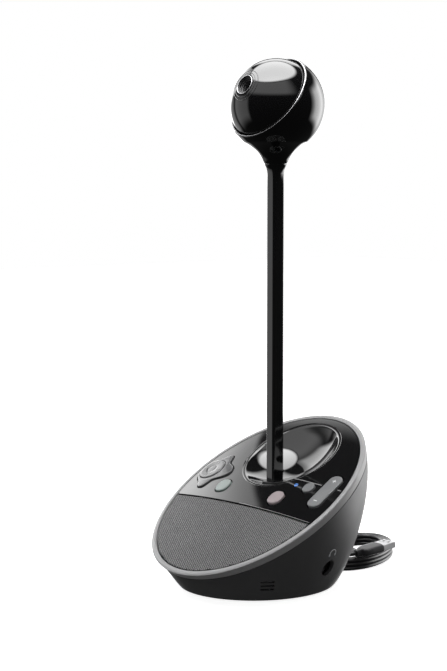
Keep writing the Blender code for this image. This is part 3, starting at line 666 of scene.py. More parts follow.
def dome(x, v):
    return CROWN * (1 - (x / RIM_X) ** 2 - (v / SLOPE) ** 2)


def on_face(x, v, above=0.0):
    """A point of the crowned face, or above it."""
    return face_point(x, v, dome(x, v) + above)


def face_frame(x, v):
    """A frame on the crowned face, X across and Z out of it."""
    across = Vector((1, 0, -2 * CROWN * x / RIM_X**2))
    along = Vector((0, 1, -2 * CROWN * v / SLOPE**2))
    out = across.cross(along).normalized()
    across.normalize()
    tilt = Matrix.Rotation(math.radians(SLANT), 4, "X")
    return Matrix.Translation(on_face(x, v)) @ tilt @ axes(across, out.cross(across), out)


def wall_point(angle, share):
    """A point of the base's wall: share 0 is the foot's edge and 1 the rim."""
    c, s = math.cos(angle), math.sin(angle)
    rim = Vector((RIM_X * c, RIM_Y * s, RIM_Z + RIM_Y * s * math.tan(math.radians(SLANT))))
    spread = 1.2 + 2.1 * s
    bulge = -1.2 - 11.2 * s * (1 - 0.78 * max(s, 0) ** 8)
    height = 0.37 + 0.04 * s
    foot = Vector(((FOOT_X - FOOT_ROUND) * c, FOOT_BACK + (FOOT_Y - FOOT_ROUND) * s, 0))
    low = Vector(((FOOT_X + spread) * c, FOOT_BACK + (FOOT_Y + spread) * s, 0))
    high = rim - Vector((bulge * c, bulge * s, height * rim.z))
    t, u = share, 1 - share
    return u**3 * foot + 3 * u * u * t * low + 3 * u * t * t * high + t**3 * rim


def share_where(angle, test):
    """The lowest share of the wall at which a test holds."""
    low, high = 0.0, 1.0
    for _ in range(24):
        middle = (low + high) / 2
        if test(wall_point(angle, middle)):
            high = middle
        else:
            low = middle
    return high


def share_below_rim(angle, drop):
    rim = wall_point(angle, 1)
    return share_where(angle, lambda point: (rim - point).length < drop)


def inward(point, depth):
    away = Vector((point.x, point.y - FOOT_BACK, 0)).normalized()
    return point - away * depth


def wrapped(section):
    """A closed section spun into a ring, each step then drawn to its own shape by section(angle)."""
    mesh = lathe([(200 - k, k) for k in range(len(section(0.0)))], WALL_STEPS)
    shapes = {}
    for vert in mesh.verts:
        step = round(math.atan2(vert.co.y, vert.co.x) / math.tau * WALL_STEPS) % WALL_STEPS
        if step not in shapes:
            shapes[step] = section(math.tau * step / WALL_STEPS)
        vert.co = shapes[step][round(vert.co.z)]
    return closed(mesh)


# ---- the base ----------------------------------------------------------------------------------


def jack_frame():
    turn = math.radians(JACK_TURN)
    return aim(JACK_AT, (math.cos(turn), math.sin(turn), 0))


def housing():
    def section(angle):
        low = share_where(angle, lambda point: point.z > FOOT_LOW)
        high = share_below_rim(angle, BAND + GROOVE)
        outer = [wall_point(angle, low + (high - low) * k / 20) for k in range(21)]
        lip = inward(outer[-1], 0.35) + Vector((0, 0, 0.3))
        return [*outer, lip, *(inward(outer[k], WALL) for k in (20, 14, 8, 3, 0))]

    wall = add_piece("base_wall", wrapped(section), "housing", "base", "housing_plastic", ["base_housing"])
    turn = Matrix.Rotation(math.radians(SLOTS_TURN), 4, "Z")
    tools = [
        moved(rounded_box((14, 9.5, 1.4), (0, 0, 0), 0.6, 2), Matrix.Translation((*SLOTS_AT, height)) @ turn)
        for height in SLOT_HEIGHTS
    ]
    tools.append(moved(cylinder(JACK_R + GAP, -3, 20, 64), jack_frame()))
    tools.append(moved(cylinder(3.3, 36, 75, 32), aim(GLAND_AT, (0, 1, 0))))
    cut(wall, joined(*tools))


def rim():
    def section(angle):
        c, s = math.cos(angle), math.sin(angle)
        low = share_below_rim(angle, BAND)
        outer = [wall_point(angle, low + (0.985 - low) * k / 8) for k in range(9)]
        soft = wall_point(angle, 1)
        shoulder = face_point(0.992 * RIM_X * c, 0.992 * SLOPE * s, 0.55)
        flat = [(0.975, 0.75), (0.962, 0.8), (0.956, 0.62), (0.955, 0.1)]
        top = [face_point(part * RIM_X * c, part * SLOPE * s, n) for part, n in flat]
        seat = face_point(0.955 * RIM_X * c, 0.955 * SLOPE * s, -1.2)
        return [*outer, soft, shoulder, *top, seat, inward(outer[0], 2.2), inward(outer[0], 0.3)]

    add_piece("rim_band", wrapped(section), "rim", "base", "rim_plastic", ["rim_ring"], 50)


def face_height(x, v):
    """Height of the panel above the rim's plane, with the bowl and the shallow step round it sunk in."""
    top = dome(x, v)
    reach = math.hypot(x, v - BOWL_V)
    sphere = BOWL_N - math.sqrt(max(BOWL_R**2 - reach**2, 0.01))
    step = min(max((top - sphere + LIP_WIDE + 0.5) / 0.5, 0), 1)
    top -= LIP_DEEP * step * step * (3 - 2 * step)
    gap = (top - sphere) / BOWL_ROUND
    if gap < -1:
        return top
    if gap > 1:
        return sphere
    return top - BOWL_ROUND * (gap + 1) ** 2 / 4


def outline_reach(angle, share):
    """How far the panel's outline is from the bowl's centre, in a direction across the face."""
    c, s = math.cos(angle), math.sin(angle)
    half_x, half_v = share * RIM_X, share * SLOPE
    a = (c / half_x) ** 2 + (s / half_v) ** 2
    b = s * BOWL_V / half_v**2
    reach = (-b + math.sqrt(b * b - a * ((BOWL_V / half_v) ** 2 - 1))) / a
    if s < 0:
        reach = min(reach, (CHORD - BOWL_V) / s)
    return reach


def lip_reach(angle):
    """Where the bowl meets the crowned face, in a direction from the bowl's centre."""
    low, high = 20.0, 45.0
    for _ in range(20):
        middle = (low + high) / 2
        x, v = middle * math.cos(angle), BOWL_V + middle * math.sin(angle)
        if BOWL_N - math.sqrt(BOWL_R**2 - middle**2) < dome(x, v):
            low = middle
        else:
            high = middle
    return high


def corner_angle(share):
    """The direction from the bowl's centre to the panel's right corner."""
    half_x, half_v = share * RIM_X, share * SLOPE
    x = half_x * math.sqrt(1 - (CHORD / half_v) ** 2)
    return math.atan2(CHORD - BOWL_V, x)


def key_outlines():
    """Outline and frame of each opening in the panel."""
    light = ellipse(LIGHT_R + GAP, LIGHT_R + GAP, 24)
    found = [(zoom_outline(KEY_GAP), face_frame(*NAV_SPOT)), (light, face_frame(*LIGHT_SPOT))]
    for spot, (half_x, half_v, corner) in KEYS.values():
        found.append((rounded(half_x + KEY_GAP, half_v + KEY_GAP, corner + KEY_GAP), face_frame(*spot)))
    return found


def panel():
    """The glossy top with the bowl in it, its mesh laid in rings round the bowl."""
    chord_steps, edge_steps = 60, 140
    bowl_rings, outer_rings = 14, 6
    right = corner_angle(PANEL_SHARE)
    steps = chord_steps + edge_steps
    lip_rings = bowl_rings + len(LIP_RINGS)
    mesh = lathe([(ring, 0) for ring in range(lip_rings + outer_rings)], steps, ring=False)
    for vert in mesh.verts:
        step = round(math.atan2(vert.co.y, vert.co.x) / math.tau * steps) % steps
        ring = round(math.hypot(vert.co.x, vert.co.y))
        if step < edge_steps:
            angle = right + (math.pi - 2 * right) * step / edge_steps
        else:
            angle = math.pi - right + (math.pi + 2 * right) * (step - edge_steps) / chord_steps
        reach = outline_reach(angle, PANEL_SHARE)
        lip = lip_reach(angle)
        if ring < bowl_rings:
            distance = (lip + LIP_RINGS[0]) * ring / bowl_rings
        elif ring < lip_rings:
            distance = lip + LIP_RINGS[ring - bowl_rings]
        else:
            share = (ring + 1 - lip_rings) / outer_rings
            distance = lip + LIP_RINGS[-1] + (reach - lip - LIP_RINGS[-1]) * share
        x, v = distance * math.cos(angle), BOWL_V + distance * math.sin(angle)
        vert.co = face_point(x, v, face_height(x, v))
    piece = add_piece("top_face", closed(mesh), "gloss", "base", "panel_gloss", ["top_panel"])
    thicken(piece, 1.6, even=True)
    tools = [moved(extruded(outline, (-12, 6)), place) for outline, place in key_outlines()]
    half_x, half_y = COLLAR
    tools.append(extruded(rounded(half_x + GAP, half_y + GAP, 2.5, (0, STALK_Y)), (50, 90)))
    cut(piece, joined(*tools), angle=30)


def strip(start, end, width, lift, count=24):
    """A thin bead lying on the crowned face between two spots."""
    mesh = bmesh.new()
    start, end = Vector(start), Vector(end)
    side = (end - start).orthogonal().normalized() * width / 2
    section = ((-1, -0.4), (-0.8, 0.7), (0, 1), (0.8, 0.7), (1, -0.4))
    rows = []
    for k in range(count + 1):
        spots = [(start.lerp(end, k / count) + side * across, up) for across, up in section]
        rows.append([mesh.verts.new(on_face(at.x, at.y, up * lift)) for at, up in spots])
    for one, other in zip(rows, rows[1:]):
        for k in range(5):
            mesh.faces.new((one[k], one[(k + 1) % 5], other[(k + 1) % 5], other[k]))
    for row in (rows[0], rows[-1]):
        mesh.faces.new(row)
    return closed(mesh)


def highlight_beads():
    """Thin light grey beads on the face as painted highlights: one along the fine crease across the right of the face,
    one along the edge where the face meets the grille.
    """
    right = PANEL_SHARE * RIM_X * math.sqrt(1 - (CHORD / (PANEL_SHARE * SLOPE)) ** 2) - 1.2
    lines = [strip((26.5, 15.6), (52.6, 15.9), 0.6, 0.16), strip((67.3, 15.9), (70.6, 15.9), 0.6, 0.16, 4)]
    add_piece("face_crease_highlight", joined(*lines), "painted_highlight", "base", "panel_gloss")
    edge = strip((0, CHORD + 0.25), (right, CHORD + 0.25), 0.4, 0.12, 60)
    add_piece("face_edge_highlight", edge, "painted_highlight", "base", "panel_gloss")


def hoop(inner, outer, start, end, count, high):
    """A flat open ring, a little taller than wide, between two angles."""
    mesh = bmesh.new()
    points = []
    for radius, order in ((outer, range(count + 1)), (inner, range(count, -1, -1))):
        for k in order:
            angle = math.radians(start + (end - start) * k / count)
            points.append(mesh.verts.new((radius * math.cos(angle), radius * math.sin(angle) * 1.1, 0)))
    for k in range(count):
        mesh.faces.new((points[k], points[k + 1], points[2 * count - k], points[2 * count + 1 - k]))
    drawn_out(mesh, mesh.faces[:], (0, 0, high))
    return closed(mesh)


def headphone_mark():
    """A small plain headphone sign above the socket: an open hoop with two ear pads."""
    pads = [rounded_box((1.2, 2.0, 0.6), (side * 3.0, -0.6, 0.3), 0.25, 2) for side in (-1, 1)]
    turn = math.radians(JACK_TURN)
    angle = math.atan2((JACK_AT[1] - FOOT_BACK) * FOOT_X / FOOT_Y, JACK_AT[0])
    share = share_where(angle, lambda point: point.z > MARK_Z)
    point, above = wall_point(angle, share), wall_point(angle, share + 0.01)
    up = (above - point).normalized()
    out = Vector((math.cos(turn), math.sin(turn), 0))
    out = (out - up * out.dot(up)).normalized()
    place = Matrix.Translation(point - out * 0.45) @ axes(up.cross(out), up, out)
    sign = moved(joined(hoop(3.0, 3.5, 10, 170, 14, 0.6), *pads), place)
    add_piece("headphone_mark", sign, "mark", "base", "housing_plastic")


def sliced(mesh, at, normal, **options):
    """Cuts a bmesh along a plane."""
    geometry = mesh.verts[:] + mesh.edges[:] + mesh.faces[:]
    bmesh.ops.bisect_plane(mesh, geom=geometry, plane_co=at, plane_no=normal, **options)


def hole_cell():
    """One hexagon of sheet with a round hole, drawn through the sheet's thickness."""
    mesh = bmesh.new()
    outer = bmesh.ops.create_circle(mesh, cap_ends=False, segments=6, radius=HOLE_PITCH / math.sqrt(3))
    bmesh.ops.rotate(mesh, verts=outer["verts"], cent=(0, 0, 0), matrix=Matrix.Rotation(math.pi / 6, 3, "Z"))
    inner = bmesh.ops.create_circle(mesh, cap_ends=False, segments=12, radius=HOLE_R)
    loops = [{edge for vert in ring["verts"] for edge in vert.link_edges} for ring in (outer, inner)]
    bmesh.ops.bridge_loops(mesh, edges=list(loops[0] | loops[1]))
    rim_edges = [edge for edge in mesh.edges if all(vert in inner["verts"] for vert in edge.verts)]
    made = bmesh.ops.extrude_edge_only(mesh, edges=rim_edges)["geom"]
    bmesh.ops.translate(mesh, verts=of_kind(made, bmesh.types.BMVert), vec=(0, 0, -SHEET))
    return mesh


def grille():
    """Punched sheet over the loudspeaker, with its edge drawn to the outline, and the cloth under it."""
    half_x, half_v = PANEL_SHARE * RIM_X, PANEL_SHARE * SLOPE
    top = CHORD - SEAM
    turn = Matrix.Rotation(math.radians(30), 4, "Z")
    cell = mesh_data("cell", hole_cell())
    mesh = bmesh.new()
    step = HOLE_PITCH * math.sqrt(3) / 2
    for j in range(-70, 71):
        row = bmesh.new()
        for k in range(-110, 111):
            spot = turn @ Vector(((k + (j % 2) / 2) * HOLE_PITCH, j * step, 0))
            reach = (spot.x / (half_x - 0.4)) ** 2 + (spot.y / (half_v - 0.4)) ** 2
            if reach > 1 or spot.y > top - 0.3:
                continue
            row.from_mesh(cell)
            row.verts.ensure_lookup_table()
            place = Matrix.Translation(spot) @ turn
            bmesh.ops.transform(row, matrix=place, verts=row.verts[-len(cell.vertices):])
        take_in(mesh, row)
    bmesh.ops.remove_doubles(mesh, verts=mesh.verts, dist=0.01)
    for vert in mesh.verts:
        x, v, n = vert.co
        v = min(v, top)
        reach = max(1, math.hypot(x / half_x, v / half_v))
        vert.co = on_face(x / reach, v / reach, n)
    bmesh.ops.remove_doubles(mesh, verts=mesh.verts, dist=0.01)
    bmesh.ops.dissolve_degenerate(mesh, edges=mesh.edges, dist=0.01)
    add_piece("speaker_sheet", mesh, "grille", "base", "grille_metal", ["speaker_grille"], 40)
    cloth = bmesh.new()
    bmesh.ops.create_circle(cloth, cap_ends=True, segments=120, radius=1)
    bmesh.ops.scale(cloth, verts=cloth.verts, vec=(half_x - 0.2, half_v - 0.2, 1))
    sliced(cloth, (0, top, 0), (0, 1, 0), clear_outer=True)
    for offset in range(-8, 9):
        sliced(cloth, (offset * 8, 0, 0), (1, 0, 0))
        sliced(cloth, (0, -40 + offset * 6, 0), (0, 1, 0))
    for vert in cloth.verts:
        vert.co = on_face(vert.co.x, vert.co.y, -0.9)
    drawn_out(cloth, cloth.faces[:], (face_point(0, 0) - face_point(0, 0, 1)) * 0.4)
    add_piece("speaker_cloth", closed(cloth), "cloth", "base", "cone_paper")


def socket_parts():
    """The headphone socket: a round well with a stepped mouth, and its contact."""
    sleeve = [(1.8, -11), (4.9, -11), (JACK_R, -10.4), (JACK_R, 3.2), (5.0, 3.6), (4.3, 3.0), (3.4, 2.2)]
    sleeve += [(3.2, 0.4), (2.3, 0.0), (1.8, -0.6)]
    place = jack_frame()
    turned("jack_sleeve", sleeve, place, "black", "base", "black_plastic", ["headphone_jack"], steps=48)
    liner = [(1.55, -9.0), (1.78, -9.0), (1.78, -0.9), (1.55, -0.7)]
    turned("jack_contact", liner, place, "brass", "base", "brass", steps=32)


def gland():
    """Tapered strain relief with its ribs, out of the back of the base."""
    profile = [(1.7, 40), (4.2, 40), (4.2, 43), (3.0, 43), (3.0, 52.6)]
    for k in range(6):
        start, rib, groove = 53.4 + 2.1 * k, 2.95 - 0.13 * k, 2.95 - 0.13 * k - 0.55
        profile += [(rib, start), (rib, start + 1.3), (groove, start + 1.5), (groove, start + 1.9)]
    profile += [(2.1, 65.9), (1.7, 66)]
    place = aim(GLAND_AT, (0, 1, 0))
    turned("cable_strain_relief", profile, place, "rubber", "base", "foot_rubber", ["cable_gland"], steps=32)


# ---- the keys ----------------------------------------------------------------------------------


def zoom_outline(grow=0.0):
    """Three soft lobes round the navigation pad."""
    points = []
    for k in range(ZOOM_STEPS):
        angle = 360 * k / ZOOM_STEPS - 180
        lobes = sum(high * math.exp(-(((angle - at) / wide) ** 2)) for at, high, wide in ZOOM_LOBES)
        spoke = Vector((math.cos(math.radians(angle)), math.sin(math.radians(angle))))
        points.append(Vector(ZOOM_OFFSET) + spoke * (ZOOM_R + grow + lobes))
    return points


def key_cap(outline, place, step):
    """A key's cap with a round top edge; a step above 0 crowns it, each ridge that much further in."""
    mesh = extruded(outline, (-KEY_DEPTH, KEY_PROUD))
    top = [face for face in mesh.faces if face.normal.z > 0.9]
    soften(mesh, [edge for face in top for edge in face.edges], 0.55, 3)
    for share in (0.4, 0.75, 1) if step else ():
        level = [face for face in mesh.faces if face.normal.z > 0.98]
        top = [face for face in level if face.calc_center_median().z > KEY_PROUD - 0.01]
        bmesh.ops.inset_region(mesh, faces=top, thickness=step, depth=0.0, use_even_offset=True)
        for vert in {vert for face in top for vert in face.verts}:
            vert.co.z = KEY_PROUD + KEY_CROWN * share
    return moved(closed(mesh), place)


def printed(outlines, place, height):
    """Marks as thin raised prints on a key."""
    prints = [extruded(outline, (height - 0.12, height + 0.05)) for outline in outlines]
    return moved(joined(*prints), place)


def bar(length, wide, at):
    """A short straight mark, as an outline."""
    return rectangle(length / 2, wide / 2, at)


def rectangle(half_x, half_y, at):
    return [Vector(at) + Vector((x * half_x, y * half_y)) for x, y in ((1, 1), (-1, 1), (-1, -1), (1, -1))]


def arrow(turn):
    """A small triangle near the navigation pad's edge that points outward, as an outline."""
    spin = Matrix.Rotation(turn, 2)
    at = Vector((ARROW_OUT * math.cos(turn), ARROW_OUT * math.sin(turn)))
    tail = -0.6 * ARROW_SIZE
    return [at + spin @ Vector(point) for point in ((ARROW_SIZE, 0), (tail, ARROW_SIZE), (tail, -ARROW_SIZE))]


def keys():
    looks = {"answer_key": ("answer", "answer_plastic"), "hangup_key": ("hangup", "hangup_plastic")}
    for name, (spot, (half_x, half_v, corner)) in KEYS.items():
        finish, slot = looks.get(name, ("key", "key_plastic"))
        cap = key_cap(rounded(half_x, half_v, corner), face_frame(*spot), half_x * 0.22)
        add_piece(f"{name}_cap", cap, finish, name, slot, [name], 40)
    place = face_frame(*KEYS["volume_rocker"][0])
    marks = [bar(3.0, 0.7, (0, 10.6)), bar(0.7, 3.0, (0, 10.6)), bar(3.0, 0.7, (0, -10.6))]
    marks = printed(marks, place, KEY_PROUD + KEY_CROWN)
    add_piece("volume_marks", marks, "mark", "volume_rocker", "key_plastic")
    place = face_frame(*NAV_SPOT)
    plate = key_cap(zoom_outline(), place, 0)
    plate = add_piece("zoom_plate", plate, "dark_key", "zoom_rocker", "key_plastic", ["zoom_rocker"], 40)
    for hole in (cylinder(NAV_R + 0.45, -2.5, 6, 96), cylinder(7.7, -10, 0, 48)):
        cut(plate, moved(hole, place), 40)
    profile = [(0, -1.6), (NAV_R - 0.3, -1.6), (NAV_R, -1.2), (NAV_R, 0.9), (NAV_R - 0.15, 1.25)]
    profile += [(NAV_R - 0.5, 1.5), (9.3, 1.58), (8.2, 1.55), (6.0, 1.5), (4.0, 1.46), (3.8, 1.38)]
    profile += [(3.5, 1.44), (1.8, 1.47), (0, 1.48)]
    disc = moved(lathe(profile, 96, ring=False), place)
    add_piece("navigation_disc", disc, "dark_key", "nav_pad", "key_plastic", ["navigation_pad"], 40)
    marks = printed([arrow(turn * math.pi / 2) for turn in (0, 1, 2, -1)], place, 1.55)
    add_piece("navigation_marks", marks, "dim_mark", "nav_pad", "key_plastic")
    marks = [bar(2.4, 0.5, (4.2, 14.6)), bar(0.5, 2.4, (4.2, 14.6)), bar(2.4, 0.5, (4.2, -15.4))]
    marks = printed(marks, place, KEY_PROUD)
    add_piece("zoom_marks", marks, "dim_mark", "zoom_rocker", "key_plastic")
    light = [(0, -5), (1.5, -5), (1.5, 0.1), (1.35, 0.3), (0.8, 0.42), (0, 0.45)]
    light = moved(lathe(light, 32, ring=False), face_frame(*LIGHT_SPOT))
    add_piece("status_light", light, "light", "base", "light_plastic", ["light_pipe"])


# ---- the stalk ---------------------------------------------------------------------------------


def stalk():
    """The post with its flared top, the dark ring in the neck's seam, and the latch on its back."""
    upright = Matrix.Translation((0, STALK_Y, 0))
    outline = divided(rounded(STALK_WIDE / 2, STALK_DEEP / 2, 1.6, (0, STALK_Y)), 0.9)
    heights = [STALK_FOOT, STALK_FOOT + 0.6, 100, 160, 220, 270]
    heights += [283 + 0.8 * k for k in range(18)] + [297.4, STALK_TOP]
    mesh = extruded(outline, heights)
    levels, blends = zip(*FLARE)
    for vert in mesh.verts:
        blend = interpolate(vert.co.z, levels, blends)
        side = Vector((vert.co.x, vert.co.y - STALK_Y))
        if blend > 0 and side.length > 0:
            wide = 5.0 + (STALK_TOP_R - 5.0) * blend
            reach = side.length + (wide - side.length) * min(1, 1.2 * blend)
            side *= reach / side.length
            vert.co.x, vert.co.y = side.x, STALK_Y + side.y
    post = add_piece("stalk_post", closed(mesh), "stalk", "stalk", "stalk_black", ["stalk_tube"])
    ring = [(4.3, 297), (6.2, 297), (6.2, 299), (4.3, 299)]
    turned("seam_ring", ring, upright, "black", "stalk", "stalk_black", steps=48)
    back = STALK_Y + STALK_DEEP / 2
    middle = (LATCH_LOW + LATCH_HIGH) / 2
    cut(post, rounded_box((5.2, 3.0, LATCH_HIGH - LATCH_LOW + 1), (0, back, middle), 0.3))
    cut(post, moved(cylinder(3.0, 279, 300, 32), upright))
    cut(post, extruded(rounded(2.5, 3.0, 1.2, (0, STALK_Y - 0.6)), (40, 281.2)))
    outside = back + 0.9
    profile = [(back - 0.7, LATCH_LOW), (outside, LATCH_LOW + 1.5), (outside, 77.2), (outside + 0.6, 77.8)]
    profile += [(outside + 0.6, 79.2), (outside, 79.8), (outside, LATCH_HIGH - 4), (back - 0.7, LATCH_HIGH)]
    latch = moved(extruded(profile, (-2.3, 2.3)), Matrix(((0, 0, 1, 0), (1, 0, 0, 0), (0, 1, 0, 0), (0, 0, 0, 1))))
    soften(latch, [e for e in latch.edges if abs(e.verts[0].co.x - e.verts[1].co.x) < 0.01], 0.2, 2)
    add_piece("latch_strip", closed(latch), "stalk", "stalk_latch", "stalk_black", ["stalk_latch"])


# ---- the head ----------------------------------------------------------------------------------


def ball_frame(lift):
    """The ball's centre; Z points forward and up by the given angle."""
    rise = math.radians(lift)
    return aim(BALL, (0, -math.cos(rise), math.sin(rise)), up=(-1, 0, 0))


def head():
    """The shell, cut off slantwise and hollow, with its band and its bright ring."""
    ball = arc(BALL_R, -46, 90, 60)
    profile = [(6.6, -40.6), (7.5, -41.0), *curved([*NECK, ball[0]], 5)[:-1], *ball[:-1], (0, BALL_R)]
    shell = moved(lathe(profile, 144, ring=False), Matrix.Translation(BALL))
    place = ball_frame(OPENING_UP)
    out = place.to_3x3() @ Vector(UP)
    sliced(shell, place @ Vector((0, 0, OPENING_OFF - 1.0)), out, clear_outer=True)
    piece = add_piece("head_ball", shell, "ball", "head", "panel_gloss", ["head_shell"])
    thicken(piece, 1.1, even=False)
    shade(piece, 30)
    band = [(33.84, 7.45), (33.8, 7.7), (33.3, 8.9), (33.05, 9.15), (32.2, 8.8), (32.3, 7.4)]
    turned("opening_band", band, place, "ball", "head", "panel_gloss", ["opening_trim"], 60, 160)
    line = ellipse(0.3, 0.3, 8, (32.95, 9.2))
    turned("opening_ring", line, place, "chrome", "head", "bright_trim", (), 60, 160)


def eye():
    """The inner ball: a fine shell with a stepped well round the lens."""
    place = ball_frame(LENS_UP)
    front = math.degrees(math.acos((LENS_R + GAP) / EYE_R))
    profile = arc(EYE_R, front - 0.3, -75, 110) + arc(EYE_R - 1.6, -75, front - 1.5, 30)
    turned("eye_ball", profile, place, "ball", "eye", "panel_gloss", ["eye_shell"], steps=144)
    bezel = [(3.4, 24.6), (7.3, 26.8), (7.3, 31.6), (7.05, 32.05), (6.75, 32.1), (6.5, 31.8), (6.4, 31.2)]
    bezel += [(5.9, 30.9), (5.8, 30.2), (5.2, 29.9), (5.1, 29.2), (4.5, 28.9), (4.4, 28.1), (3.9, 27.7)]
    bezel += [(3.7, 26.4)]
    turned("lens_steps", bezel, place, "black", "eye", "bright_trim", ["lens_bezel"], 50, 96)
    ring = [(6.62, 32.0), (6.8, 32.26), (7.02, 32.3), (7.2, 32.1), (7.18, 31.8), (6.7, 31.75)]
    turned("lens_ring", ring, place, "chrome", "eye", "bright_trim", (), 60, 96)
    for radius in (9.3, 11.4):
        bead = ellipse(0.32, 0.32, 8, (radius, math.sqrt(EYE_R**2 - radius**2) - 0.12))
        turned(f"eye_bead_{round(radius)}", bead, place, "ball", "eye", "panel_gloss", (), 60, 96)
    front = [(r, 17.2 + h) for r, h in arc(8.6, 65, 90, 16)]
    glass = [(0, 22.0), (3.6, 22.0), (3.62, 25.0), *front[:-1], (0, front[-1][1])]
    turned("lens_front", glass, place, "lens", "eye", "lens_glass", ["lens_glass"], 60, 64, ring=False)


# ---- the cable ---------------------------------------------------------------------------------


def smooth_route(points, gap):
    """Even points along a curve through the given ones, both ends kept."""
    fine = curved(points, 12)
    route = [fine[0]]
    for point in fine:
        if (point - route[-1]).length >= gap and (point - fine[-1]).length >= gap / 2:
            route.append(point)
    return [*route, fine[-1]]


def coil_point(angle, side, height):
    """A point of the oval winding, by its angle and how far outside the middle line it lies."""
    a = math.radians(angle)
    flat = Vector(((COIL_LONG + side) * math.cos(a), (COIL_SHORT + side) * math.sin(a)))
    return Vector((*(COIL_CENTRE + Matrix.Rotation(math.radians(COIL_TURN), 2) @ flat), height))


def cable_route():
    """In from the base, round the winding one strand at a time, and over the top to the plug."""
    slots = [(column, row) for row in COIL_ROWS for column in COIL_COLUMNS]
    for k in (3, 4, 5):
        slots[k] = (COIL_COLUMNS[5 - k], COIL_ROWS[1])
    route = [Vector(point) for point in CABLE_IN]
    turns = len(slots)
    start, finish = 45.0, 100.0
    total = 360 * turns + start - finish
    count = turns * 30
    for k in range(count + 1):
        angle = start - total * k / count
        place = (start - angle) / 360
        index = min(int(place), turns - 1)
        into = place - index
        side, height = slots[index]
        if index + 1 < turns and into > 0.86:
            ease = (into - 0.86) / 0.14
            ease = ease * ease * (3 - 2 * ease)
            side += (slots[index + 1][0] - side) * ease
            height += (slots[index + 1][1] - height) * ease
        route.append(coil_point(angle, side, height))
    last, before = route[-1], route[-2]
    ahead = (last - before).normalized()
    right = Vector((ahead.y, -ahead.x, 0))
    centre = last + right * 11
    for turn, height in ((30, 7.0), (60, 6.2), (90, 5.4), (120, 5.0), (150, 5.0), (180, 5.4)):
        a = math.radians(turn)
        spot = centre - right * 11 * math.cos(a) + ahead * 11 * math.sin(a)
        route.append(Vector((spot.x, spot.y, height)))
    goal = Vector(CABLE_OUT[0])
    leave = route[-1]
    for share, height in ((0.3, 6.8), (0.6, 9.2), (0.82, 10.7)):
        spot = leave.lerp(goal, share)
        route.append(Vector((spot.x, spot.y, height)))
    return route + [Vector(point) for point in CABLE_OUT]


def cable(with_pieces):
    route = [point * MM for point in smooth_route(cable_route(), 2.2)]
    data = bpy.data.curves.new("data_cable", "CURVE")
    data.dimensions = "3D"
    data.bevel_depth = CABLE_R * MM
    data.bevel_resolution = 3
    data.use_fill_caps = True
    spline = data.splines.new("POLY")
    spline.points.add(len(route) - 1)
    for target, point in zip(spline.points, route):
        target.co = (*point, 1)
    data.materials.append(FINISHES["cable"])
    piece = new_object("data_cable", data)
    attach(piece, "base")
    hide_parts("usb_cable", "usb_coil", "usb_tail")
    tuple(route[0])


def plug():
    """Ribbed strain relief, overmould and the plated shell with its two windows."""
    place = aim(PLUG_START, PLUG_AIM)
    mesh = extruded(rounded(1, 1, 0.7, steps=6), [along for along, _, _ in PLUG_SECTIONS])
    levels, halves_x, halves_y = zip(*PLUG_SECTIONS)
    for vert in mesh.verts:
        vert.co.x *= interpolate(vert.co.z, levels, halves_x)
        vert.co.y *= interpolate(vert.co.z, levels, halves_y)
    mesh = moved(closed(mesh), place)
    body = add_piece("plug_overmould", mesh, "overmould", "base", "housing_plastic", ["usb_plug_body"])
    for k in range(4):
        low, high = 1.0 + 1.1 * k, 1.5 + 1.1 * k
        cut(body, moved(lathe([(2.35, low), (5, low), (5, high), (2.35, high)], 32), place))
    sleeve = extruded(rounded(6.0, 2.25, 0.5, steps=4), (23.2, 35.2))
    metal_shell = add_piece("plug_sleeve", moved(sleeve, place), "plated", "base", "bright_trim", ["usb_plug_shell"])
    cut(metal_shell, moved(extruded(rounded(5.6, 1.85, 0.3, steps=3), (25.0, 40)), place))
    for x in (-2.6, 2.6):
        window = rounded_box((2.2, 3, 2.4), (x, 2.6, 31.5), 0.15, 1)
        cut(metal_shell, moved(window, place))
    tongue = rounded_box((10.6, 1.4, 8.6), (0, -0.75, 29.9), 0.15, 1)
    insert = add_piece("plug_tongue", moved(tongue, place), "black", "base", "black_plastic")
    return [body, metal_shell, insert]


# ---- inner pieces ------------------------------------------------------------------------------


def finish_nodes():
    """Gives the solids that stay in sight their finishes."""
    for finish, names in NODE_FINISHES.items():
        for name in names:
            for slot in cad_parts[name].material_slots:
                slot.material = FINISHES[finish]


# ---- studio ------------------------------------------------------------------------------------


